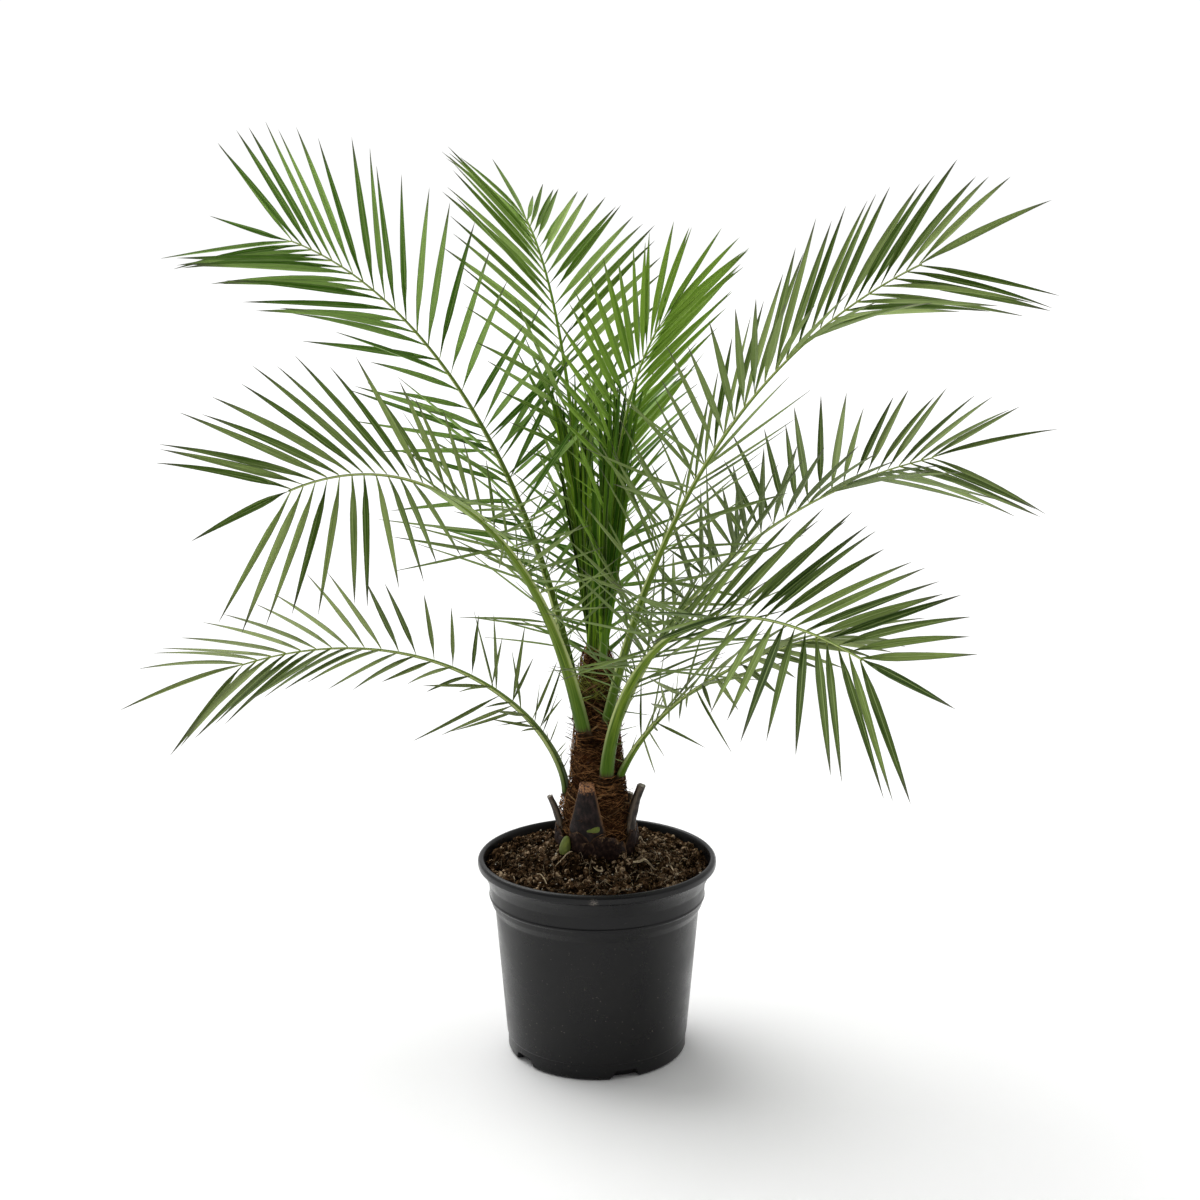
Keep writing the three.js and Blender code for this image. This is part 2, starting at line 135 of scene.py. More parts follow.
def relief(points: Array, size: float, seed: int, octaves: int = 3) -> Array:
    """Smooth random relief from -1 to 1.

    Each octave blends random values on a cubic lattice with an eased weight for every corner,
    at half the size and half the height of the one before.

    Args:
        points: Places to read, (..., 3).
        size: Lattice spacing of the first octave.
        seed: Which pattern.
        octaves: How many are added.

    Returns:
        One value for each point.
    """
    total = np.zeros(points.shape[:-1])
    for octave in range(octaves):
        place = points * (2**octave / size)
        cell = np.floor(place).astype(np.int64)
        weight = ease(place - cell)
        for corner in np.ndindex(2, 2, 2):
            keyed = (cell + np.array(corner)) * LATTICE_KEYS
            mixed = keyed[..., 0] ^ keyed[..., 1] ^ keyed[..., 2]
            mixed = (mixed ^ (seed + octave) * SEED_KEY) & LOW_BITS
            mixed = ((mixed ^ mixed >> 15) * MIX_KEY) & LOW_BITS
            value = (mixed ^ mixed >> 13) / HALF_RANGE - 1
            share = np.prod(np.where(corner, weight, 1 - weight), axis=-1)
            total += value * share / 2**octave
    return total


# Meshes


@dataclass
class Skin:
    """A mesh that grows block by block, in millimetres.

    Every point carries its place (along, across) from 0 to 1, its side (1 on an upper face,
    -1 on a lower one) and the tone of the leaflet, strand or crumb that it belongs to.
    """

    points: list[Array] = field(default_factory=list)
    quads: list[Array] = field(default_factory=list)
    triangles: list[Array] = field(default_factory=list)
    place: list[Array] = field(default_factory=list)
    side: list[Array] = field(default_factory=list)
    tone: list[Array] = field(default_factory=list)
    count: int = 0

    def bars(
        self,
        rings: Array,
        along: Array,
        across: Array | float = 0.5,
        side: Array | float = 0.0,
        tone: Array | float = 0.0,
    ) -> None:
        """Adds closed bars, whose first and last rings draw together into single points.

        Args:
            rings: Points (bars, rings, corners, 3), turning the same way round every bar.
            along: Share of the length at each ring.
            across: Share of the width at each corner.
            side: Side at each corner.
            tone: Tone of each bar.
        """
        bars, rows, corners = rings.shape[:3]
        first, last = rings[:, :1].mean(2), rings[:, -1:].mean(2)
        body = rings[:, 1:-1].reshape(bars, -1, 3)
        points = np.concatenate([first, body, last], axis=1)
        each = points.shape[1]

        row, corner = np.meshgrid(np.arange(rows - 3), np.arange(corners), indexing="ij")
        beside = (corner + 1) % corners
        low = 1 + row * corners
        quads = np.stack([low + corner, low + beside, low + corners + beside, low + corners + corner], -1)
        corner, beside = corner[0], beside[0]
        start = np.stack([np.zeros(corners, int), 1 + beside, 1 + corner], -1)
        top = each - 1 - corners
        finish = np.stack([np.full(corners, each - 1), top + corner, top + beside], -1)
        shift = self.count + each * np.arange(bars)[:, None, None]
        quads = (quads.reshape(-1, 4)[None] + shift).reshape(-1, 4)
        triangles = (np.concatenate([start, finish])[None] + shift).reshape(-1, 3)
        flat = points.reshape(-1, 3)
        if self._volume(flat, quads - self.count, triangles - self.count) < 0:
            quads, triangles = quads[:, ::-1], triangles[:, ::-1]

        def spread(middle: Array, ends: float | Array) -> Array:
            """One value for each point of every bar.

            Args:
                middle: Values over the rings between the ends.
                ends: Values of the first and the last point.

            Returns:
                All of them, bar after bar.
            """
            inner = np.broadcast_to(middle, (rows - 2, corners)).reshape(-1)
            ends = np.broadcast_to(ends, 2)
            return np.tile(np.concatenate([ends[:1], inner, ends[1:]]), bars)

        along = np.asarray(along, float)
        length = spread(along[1:-1, None], along[[0, -1]])
        width = spread(across, 0.5)
        self.points.append(flat)
        self.quads.append(quads)
        self.triangles.append(triangles)
        self.place.append(np.stack([length, width], -1))
        self.side.append(spread(side, 0.0))
        self.tone.append(np.repeat(np.broadcast_to(tone, bars), each))
        self.count += len(flat)

    @staticmethod
    def _volume(points: Array, quads: Array, triangles: Array) -> float:
        """Six times the volume that the faces hold: the sum of a . (b x c) over their triangles.

        Args:
            points: The corners' places.
            quads: Faces of four corners.
            triangles: Faces of three corners.

        Returns:
            The sum, negative where the faces point inward.
        """
        faces = np.concatenate([quads[:, [0, 1, 2]], quads[:, [0, 2, 3]], triangles])
        a, b, c = (points[faces[:, i]] for i in range(3))
        return float(np.einsum("ij,ij->", a, np.cross(b, c)))

    def build(
        self,
        name: str,
        finish: "Finish",
        slot: str,
        stands_for: Sequence[str] = (),
        crease: float = 40,
    ) -> None:
        """Writes the mesh out in metres, gives it its finish and hangs it on the palm.

        Args:
            name: The piece's name.
            finish: What makes its material.
            slot: The record's material slot that it belongs to. Not used.
            stands_for: The solids that it is shown in place of.
            crease: Edges sharper than this many degrees stay sharp.
        """
        points = np.concatenate(self.points) * MILLIMETRE
        quads, triangles = np.concatenate(self.quads), np.concatenate(self.triangles)
        mesh = bpy.data.meshes.new(name)
        mesh.vertices.add(len(points))
        mesh.vertices.foreach_set("co", points.astype(np.float32).ravel())
        corners = np.concatenate([quads.ravel(), triangles.ravel()]).astype(np.int32)
        mesh.loops.add(len(corners))
        mesh.loops.foreach_set("vertex_index", corners)
        sizes = np.concatenate([np.full(len(quads), 4), np.full(len(triangles), 3)])
        starts = np.concatenate([[0], np.cumsum(sizes)[:-1]]).astype(np.int32)
        mesh.polygons.add(len(sizes))
        mesh.polygons.foreach_set("loop_start", starts)
        mesh.polygons.foreach_set("use_smooth", np.ones(len(sizes), bool))
        mesh.update(calc_edges=True)
        place = np.concatenate(self.place)[corners]
        mesh.uv_layers.new(name="place").data.foreach_set("uv", place.astype(np.float32).ravel())
        for label, values in (("side", self.side), ("tone", self.tone)):
            layer = mesh.attributes.new(label, "FLOAT", "POINT")
            layer.data.foreach_set("value", np.concatenate(values).astype(np.float32))
        mesh.set_sharp_from_angle(angle=np.radians(crease))
        mesh.materials.append(finish.material())
        piece = bpy.data.objects.new(name, mesh)
        bpy.context.scene.collection.objects.link(piece)
        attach(piece, "root")
        if stands_for:
            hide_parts(*stands_for)
        log.info("%s: %d faces", name, len(sizes))


# Finishes


@dataclass
class Painter:
    """Adds and joins the nodes of one shader tree."""

    tree: bpy.types.NodeTree

    def node(self, kind: str, inputs: dict | None = None, **settings: object) -> bpy.types.Node:
        """A node with its settings made and its inputs filled or joined.

        Args:
            kind: The node's type, without its first word.
            inputs: A value or a socket for each input, by name or by number.
            **settings: The node's own options.

        Returns:
            The node.
        """
        made = self.tree.nodes.new("ShaderNode" + kind)
        for name, value in settings.items():
            setattr(made, name, value)
        for name, value in (inputs or {}).items():
            self.feed(made.inputs[name], value)
        return made

    def feed(self, socket: bpy.types.NodeSocket, value: object) -> None:
        """Joins a socket to another, or sets its value.

        Args:
            socket: The input to fill.
            value: Another node's output, a number, a colour or a vector.
        """
        if isinstance(value, bpy.types.NodeSocket):
            self.tree.links.new(value, socket)
        elif socket.type == "RGBA":
            socket.default_value = (*value, 1.0)
        else:
            socket.default_value = value

    def maths(self, operation: str, first: object, second: object = 0.0) -> bpy.types.NodeSocket:
        """One sum on two numbers."""
        return self.node("Math", {0: first, 1: second}, operation=operation).outputs[0]

    def span(
        self, value: object, low: object, high: object, to_low: float = 0.0, to_high: float = 1.0
    ) -> bpy.types.NodeSocket:
        """Carries low..high smoothly to to_low..to_high."""
        inputs = {"Value": value, "From Min": low, "From Max": high, "To Min": to_low, "To Max": to_high}
        return self.node("MapRange", inputs, interpolation_type="SMOOTHSTEP").outputs[0]

    def blend(self, share: object, first: object, second: object) -> bpy.types.NodeSocket:
        """Mixes two colours.

        Args:
            share: How far from the first to the second, from 0 to 1.
            first: A colour or a socket.
            second: A colour or a socket.

        Returns:
            The mixed colour's socket.
        """
        made = self.node("Mix", data_type="RGBA", blend_type="MIX")
        for index, value in ((0, share), (6, first), (7, second)):
            self.feed(made.inputs[index], value)
        return made.outputs[2]

    def grain(
        self, vector: object, scale: float, detail: float = 3.0, harsh: float = 0.55
    ) -> bpy.types.NodeSocket:
        """Noise from 0 to 1."""
        inputs = {"Vector": vector, "Scale": scale, "Detail": detail, "Roughness": harsh}
        return self.node("TexNoise", inputs).outputs["Fac"]

    def where(self) -> bpy.types.NodeSocket:
        """The place on the object itself, in metres."""
        return self.node("TexCoord").outputs["Object"]

    def length_and_width(self) -> tuple[bpy.types.NodeSocket, bpy.types.NodeSocket]:
        """The share along and the share across, from the piece's own map."""
        parts = self.node("SeparateXYZ", {0: self.node("UVMap", uv_map="place").outputs[0]})
        return parts.outputs[0], parts.outputs[1]

    def lengthwise(self, by_along: float, by_across: float, third: object = 0.0) -> bpy.types.NodeSocket:
        """The piece's own map, stretched so that noise on it runs along the piece.

        Args:
            by_along: Scale of the share along.
            by_across: Scale of the share across.
            third: What the third number is, to give each leaflet its own pattern.

        Returns:
            The stretched place.
        """
        along, across = self.length_and_width()
        along, across = self.maths("MULTIPLY", along, by_along), self.maths("MULTIPLY", across, by_across)
        return self.node("CombineXYZ", {0: along, 1: across, 2: third}).outputs[0]

    def off_middle(self) -> bpy.types.NodeSocket:
        """How far a place lies from the middle line: 0 on it, 1 at either edge."""
        aside = self.maths("SUBTRACT", self.length_and_width()[1], 0.5)
        return self.maths("MULTIPLY", self.maths("ABSOLUTE", aside), 2.0)

    def scaled(self, size: object) -> bpy.types.NodeSocket:
        """The place on the object, made larger by the size, for noise of that fineness."""
        return self.node("VectorMath", {0: self.where(), 3: size}, operation="SCALE").outputs[0]

    def value(self, name: str) -> bpy.types.NodeSocket:
        """A number that the mesh carries."""
        return self.node("Attribute", attribute_name=name).outputs["Fac"]


class Effect(Enum):
    """Patterns that several materials share, each made once as a node group."""

    LEAF = "leaf pattern"
    STALK = "stalk pattern"
    STRAND = "strand pattern"
    CUT = "cut leaf base pattern"
    MOTTLE = "mottling"
    BUMP = "fine relief"

    def group(self) -> bpy.types.NodeTree:
        """Finds the node group of this effect, or makes it when it is first asked for.

        Returns:
            The group.
        """
        made = bpy.data.node_groups.get(self.value)
        if made:
            return made
        made = bpy.data.node_groups.new(self.value, "ShaderNodeTree")
        build = {
            Effect.LEAF: leaf_pattern,
            Effect.STALK: stalk_pattern,
            Effect.STRAND: strand_pattern,
            Effect.CUT: cut_pattern,
            Effect.MOTTLE: mottling,
            Effect.BUMP: fine_relief,
        }
        build[self](made)
        return made


def sockets(
    tree: bpy.types.NodeTree, inputs: dict[str, str], outputs: dict[str, str]
) -> tuple[bpy.types.Node, bpy.types.Node]:
    """Gives a node group its sockets.

    Args:
        tree: The group.
        inputs: The kind of each input, by name.
        outputs: The kind of each output, by name.

    Returns:
        The node that hands the inputs in and the node that takes the outputs.
    """
    for way, wanted in (("INPUT", inputs), ("OUTPUT", outputs)):
        for name, kind in wanted.items():
            tree.interface.new_socket(name, in_out=way, socket_type="NodeSocket" + kind)
    return tree.nodes.new("NodeGroupInput"), tree.nodes.new("NodeGroupOutput")


def colours(*names: str) -> dict[str, str]:
    """The kind of socket for each named colour."""
    return {name: "Color" for name in names}


def leaf_pattern(tree: bpy.types.NodeTree) -> None:
    """A leaflet: streaks, a pale midrib, edges in a colour of their own, a yellow heel, a withered tip
    and fine ribs. Where the edge colour is brighter than the leaf, as on the fresh leaves, it is a painted
    highlight.

    Args:
        tree: The group to fill.
    """
    wanted = colours("Dark", "Light", "Under", "Rib", "Edge", "Heel", "Tip")
    given, result = sockets(tree, wanted, {"Color": "Color", "Normal": "Vector"})
    paint = Painter(tree)
    along = paint.length_and_width()[0]
    off_middle = paint.off_middle()
    tone = paint.value("tone")
    streak = paint.grain(paint.lengthwise(2.0, 14.0, paint.maths("MULTIPLY", tone, 9.0)), 1.6, 2.0)
    by_tone = paint.span(tone, -1.0, 1.0, 0.0, 0.62)
    shade = paint.maths("ADD", by_tone, paint.span(streak, 0.25, 0.75, -0.2, 0.3))
    colour = paint.blend(shade, given.outputs["Dark"], given.outputs["Light"])
    layers = (
        # Edge: a thin band along both edges; an edge colour brighter than the leaf, as on the fresh leaves,
        # is a painted highlight.
        ("Edge", paint.span(off_middle, 0.78, 0.98, 0.0, 0.85)),
        ("Rib", paint.span(off_middle, 0.02, 0.16, 0.5, 0.0)),
        ("Under", paint.span(paint.value("side"), -0.3, 0.3, 0.75, 0.0)),
        ("Heel", paint.span(along, 0.012, 0.06, 0.8, 0.0)),
        ("Tip", paint.span(along, 0.72, 0.98, 0.0, 0.9)),
    )
    for name, share in layers:
        colour = paint.blend(share, colour, given.outputs[name])
    paint.feed(result.inputs["Color"], colour)
    ribs = paint.grain(paint.lengthwise(1.0, 22.0), 2.0, 1.0)
    bump = paint.node("Bump", {"Height": ribs, "Strength": 0.5, "Distance": 0.0004})
    paint.feed(result.inputs["Normal"], bump.outputs[0])


def stalk_pattern(tree: bpy.types.NodeTree) -> None:
    """A stalk: green streaks, a painted highlight along both edges, deeper green low down and a wavy brown
    foot.

    Args:
        tree: The group to fill.
    """
    given, result = sockets(tree, colours("Dark", "Light", "Edge", "Deep", "Foot"), colours("Color"))
    paint = Painter(tree)
    along = paint.length_and_width()[0]
    shade = paint.span(paint.grain(paint.lengthwise(7.0, 9.0), 1.4, 3.0), 0.3, 0.7)
    colour = paint.blend(shade, given.outputs["Dark"], given.outputs["Light"])
    wavy = paint.maths("ADD", along, paint.span(shade, 0.0, 1.0, -0.004, 0.004))
    layers = (
        # Edge: a pale line along both edges of the stalk, a painted highlight.
        ("Edge", paint.span(paint.off_middle(), 0.8, 1.0, 0.0, 0.9)),
        ("Deep", paint.span(along, 0.0, 0.16, 0.75, 0.0)),
        ("Foot", paint.span(wavy, -0.004, 0.012, 1.0, 0.0)),
    )
    for name, share in layers:
        colour = paint.blend(share, colour, given.outputs[name])
    paint.feed(result.inputs["Color"], colour)


def strand_pattern(tree: bpy.types.NodeTree) -> None:
    """A strand: its tone deals the browns out, and noise breaks them up. The share is squared.

    Args:
        tree: The group to fill.
    """
    given, result = sockets(tree, colours("Dark", "Light"), colours("Color"))
    paint = Painter(tree)
    broken = paint.span(paint.grain(paint.where(), 260.0, 2.0), 0.2, 0.8, -0.3, 0.3)
    shade = paint.maths("ADD", paint.span(paint.value("tone"), -1.0, 1.0), broken)
    share = paint.maths("MULTIPLY", shade, shade)
    paint.feed(result.inputs["Color"], paint.blend(share, given.outputs["Dark"], given.outputs["Light"]))


def cut_pattern(tree: bpy.types.NodeTree) -> None:
    """A cut leaf base: streaks, tan edges, and raw fibre past a share Raw of its length.

    Args:
        tree: The group to fill.
    """
    wanted = {**colours("Dark", "Light", "Edge", "Cut"), "Raw": "Float"}
    given, result = sockets(tree, wanted, colours("Color"))
    paint = Painter(tree)
    along = paint.length_and_width()[0]
    streaks = paint.span(paint.grain(paint.lengthwise(4.0, 4.0), 1.5, 3.0), 0.4, 0.8)
    colour = paint.blend(streaks, given.outputs["Dark"], given.outputs["Light"])
    colour = paint.blend(paint.span(paint.off_middle(), 0.8, 1.0, 0.0, 0.8), colour, given.outputs["Edge"])
    ragged = paint.span(paint.grain(paint.where(), 500.0), 0.2, 0.8, -0.06, 0.06)
    fibrous = paint.span(paint.grain(paint.where(), 480.0), 0.35, 0.62)
    raw = paint.blend(fibrous, given.outputs["Light"], given.outputs["Cut"])
    start, end = given.outputs["Raw"], paint.maths("ADD", given.outputs["Raw"], 0.1)
    colour = paint.blend(paint.span(paint.maths("ADD", along, ragged), start, end), colour, raw)
    paint.feed(result.inputs["Color"], colour)


def mottling(tree: bpy.types.NodeTree) -> None:
    """Two sizes of noise that deal a surface out between three colours.

    Args:
        tree: The group to fill.
    """
    wanted = {**colours("Dark", "Middle", "Light"), "Size": "Float", "Shift": "Float"}
    given, result = sockets(tree, wanted, colours("Color"))
    paint = Painter(tree)
    patches = paint.grain(paint.scaled(given.outputs["Size"]), 1.0, 4.0, 0.65)
    mask = paint.maths("ADD", patches, given.outputs["Shift"])
    colour = paint.blend(paint.span(mask, 0.3, 0.52), given.outputs["Dark"], given.outputs["Middle"])
    colour = paint.blend(paint.span(mask, 0.52, 0.74), colour, given.outputs["Light"])
    paint.feed(result.inputs["Color"], colour)


def fine_relief(tree: bpy.types.NodeTree) -> None:
    """A normal roughened by noise of a given size and strength.

    Args:
        tree: The group to fill.
    """
    given, result = sockets(tree, {"Size": "Float", "Strength": "Float"}, {"Normal": "Vector"})
    paint = Painter(tree)
    height = paint.grain(paint.scaled(given.outputs["Size"]), 1.0, 5.0, 0.6)
    inputs = {"Height": height, "Strength": given.outputs["Strength"], "Distance": 0.0008}
    paint.feed(result.inputs["Normal"], paint.node("Bump", inputs).outputs[0])


@dataclass(frozen=True)
class Finish:
    """What every finish has: a name and a shader with its gloss set."""

    name: str
    roughness: float = 0.5
    gloss: float = 0.4

    def material(self) -> bpy.types.Material:
        """Finds the material of this finish, or makes it when it is first asked for.

        Returns:
            The material.
        """
        made = bpy.data.materials.get(self.name)
        if made:
            return made
        made = bpy.data.materials.new(self.name)
        made.use_nodes = True
        shader = made.node_tree.nodes["Principled BSDF"]
        shader.inputs["Roughness"].default_value = self.roughness
        shader.inputs["Specular IOR Level"].default_value = self.gloss
        self.dress(Painter(made.node_tree), shader)
        return made

    def dress(self, paint: Painter, shader: bpy.types.Node) -> None:
        """Joins the colours and relief of the finish to its shader."""
        raise NotImplementedError

    @staticmethod
    def colour(paint: Painter, shader: bpy.types.Node, which: Effect, **inputs: object) -> bpy.types.Node:
        """Puts a shared pattern in the material and its colour on the shader.

        Args:
            paint: Adds the material's nodes.
            shader: The material's shader.
            which: The pattern.
            **inputs: The pattern's colours and values.

        Returns:
            The pattern's node.
        """
        pattern = paint.node("Group", inputs, node_tree=which.group())
        paint.feed(shader.inputs["Base Color"], pattern.outputs["Color"])
        return pattern

    @staticmethod
    def roughen(paint: Painter, shader: bpy.types.Node, size: float, strength: float) -> None:
        """Gives the shader a fine relief of a size, as lumps to the metre, and a strength."""
        bump = paint.node("Group", {"Size": size, "Strength": strength}, node_tree=Effect.BUMP.group())
        paint.feed(shader.inputs["Normal"], bump.outputs["Normal"])


@dataclass(frozen=True)
class LeafFinish(Finish):
    """Leaflets: the green colours of one spray, streaked along the leaf, with that frond's light and shade
    painted into them.
    """

    dark: Colour = (0.05, 0.1, 0.02)
    light: Colour = (0.15, 0.22, 0.07)
    under: Colour = (0.14, 0.19, 0.1)
    rib: Colour = (0.42, 0.54, 0.2)
    edge: Colour = (0.075, 0.09, 0.05)
    heel: Colour = (0.42, 0.5, 0.12)
    tip: Colour = (0.1, 0.1, 0.07)

    def dress(self, paint: Painter, shader: bpy.types.Node) -> None:
        """The leaf pattern, with its lengthwise relief.

        Args:
            paint: Adds the material's nodes.
            shader: The material's shader.
        """
        upper = {"Dark": self.dark, "Light": self.light, "Rib": self.rib, "Edge": self.edge}
        others = {"Under": self.under, "Heel": self.heel, "Tip": self.tip}
        pattern = self.colour(paint, shader, Effect.LEAF, **upper, **others)
        paint.feed(shader.inputs["Normal"], pattern.outputs["Normal"])


@dataclass(frozen=True)
class StalkFinish(Finish):
    """Leaf stalks: green with a painted highlight along the edges, browning into the sheath at the foot."""

    dark: Colour = (0.05, 0.105, 0.005)
    light: Colour = (0.19, 0.27, 0.03)
    # A pale yellow edge colour, a painted highlight along the stalk.
    edge: Colour = (0.55, 0.62, 0.25)
    deep: Colour = (0.035, 0.1, 0.0015)
    foot: Colour = (0.05, 0.028, 0.013)

    def dress(self, paint: Painter, shader: bpy.types.Node) -> None:
        """The stalk pattern over a fine relief.

        Args:
            paint: Adds the material's nodes.
            shader: The material's shader.
        """
        ends = {"Deep": self.deep, "Foot": self.foot}
        self.colour(paint, shader, Effect.STALK, Dark=self.dark, Light=self.light, Edge=self.edge, **ends)
        self.roughen(paint, shader, 700.0, 0.25)


@dataclass(frozen=True)
class StrandFinish(Finish):
    """Dead fibre, sheath edges, thorns and roots: each strand its own brown."""

    dark: Colour = (0.016, 0.005, 0.0015)
    light: Colour = (0.42, 0.21, 0.085)

    def dress(self, paint: Painter, shader: bpy.types.Node) -> None:
        """The strand pattern over a coarser relief."""
        self.colour(paint, shader, Effect.STRAND, Dark=self.dark, Light=self.light)
        self.roughen(paint, shader, 1500.0, 0.4)


@dataclass(frozen=True)
class MottledFinish(Finish):
    """Fibre mat, compost, perlite and buds: three colours in patches over a rough surface."""

    dark: Colour = (0.01, 0.005, 0.002)
    middle: Colour = (0.03, 0.017, 0.009)
    light: Colour = (0.1, 0.07, 0.04)
    size: float = 300.0
    shift: float = 0.0
    depth: float = 0.7

    def dress(self, paint: Painter, shader: bpy.types.Node) -> None:
        """Patches shifted lighter or darker by each crumb's tone.

        Args:
            paint: Adds the material's nodes.
            shader: The material's shader.
        """
        shift = paint.maths("ADD", paint.maths("MULTIPLY", paint.value("tone"), 0.17), self.shift)
        three = {"Dark": self.dark, "Middle": self.middle, "Light": self.light}
        self.colour(paint, shader, Effect.MOTTLE, **three, Size=self.size, Shift=shift)
        self.roughen(paint, shader, self.size * 3, self.depth)


@dataclass(frozen=True)
class CutFinish(Finish):
    """A cut leaf base: dark sheath with tan edges and a raw, fibrous cut face."""

    dark: Colour = (0.009, 0.003, 0.002)
    light: Colour = (0.06, 0.032, 0.022)
    edge: Colour = (0.22, 0.11, 0.045)
    cut: Colour = (0.42, 0.2, 0.085)
    raw_from: float = 0.9

    def dress(self, paint: Painter, shader: bpy.types.Node) -> None:
        """The cut pattern, raw past a share of its length, over a relief.

        Args:
            paint: Adds the material's nodes.
            shader: The material's shader.
        """
        four = {"Dark": self.dark, "Light": self.light, "Edge": self.edge, "Cut": self.cut}
        self.colour(paint, shader, Effect.CUT, **four, Raw=self.raw_from)
        self.roughen(paint, shader, 600.0, 0.6)


@dataclass(frozen=True)
class PotFinish(Finish):
    """Satin black plastic with a moulded grain, a little dust low down and scuffs on the rim.

    The sizes of speck, rub, haze and sheen are lumps of noise to the metre.
    """

    black: Colour = (0.0045, 0.0045, 0.005)
    dust: Colour = (0.16, 0.14, 0.12)
    scuffs: tuple[Place, ...] = ((-3.0, -120.0, 196.0), (-120.0, 12.0, 196.0))
    scuff_reach: Span = (0.001, 0.006)
    dusty_heights: Span = (0.02, 0.19)
    speck_size: float = 420.0
    rub_size: float = 700.0
    haze_size: float = 16.0
    sheen_size: float = 30.0

    def dress(self, paint: Painter, shader: bpy.types.Node) -> None:
        """Specks of dust that thin out upwards, two pale scuffs, haze and an uneven sheen.

        Args:
            paint: Adds the material's nodes.
            shader: The material's shader.
        """
        place = paint.where()
        height = paint.node("SeparateXYZ", {0: place}).outputs[2]
        specks = paint.span(paint.grain(place, self.speck_size, 1.0, 0.4), 0.72, 0.78)
        mask = paint.maths("MULTIPLY", specks, paint.span(height, *self.dusty_heights, 0.55, 0.06))
        for spot in self.scuffs:
            centre = tuple(MILLIMETRE * value for value in spot)
            away = paint.node("VectorMath", {0: place, 1: centre}, operation="DISTANCE").outputs["Value"]
            patchy = paint.span(paint.grain(place, self.rub_size), 0.4, 0.6)
            rubbed = paint.maths("MULTIPLY", paint.span(away, *self.scuff_reach, 0.9, 0.0), patchy)
            mask = paint.maths("MAXIMUM", mask, rubbed)
        hazy = paint.span(paint.grain(place, self.haze_size, 3.0), 0.35, 0.7, 0.0, 0.02)
        colour = paint.blend(paint.maths("ADD", mask, hazy), self.black, self.dust)
        paint.feed(shader.inputs["Base Color"], colour)
        sheen = paint.grain(place, self.sheen_size, 2.0)
        roughness = paint.span(sheen, 0.3, 0.7, self.roughness - 0.05, self.roughness + 0.07)
        paint.feed(shader.inputs["Roughness"], roughness)
        self.roughen(paint, shader, 2600.0, 0.06)


# The trunk and what grows on it


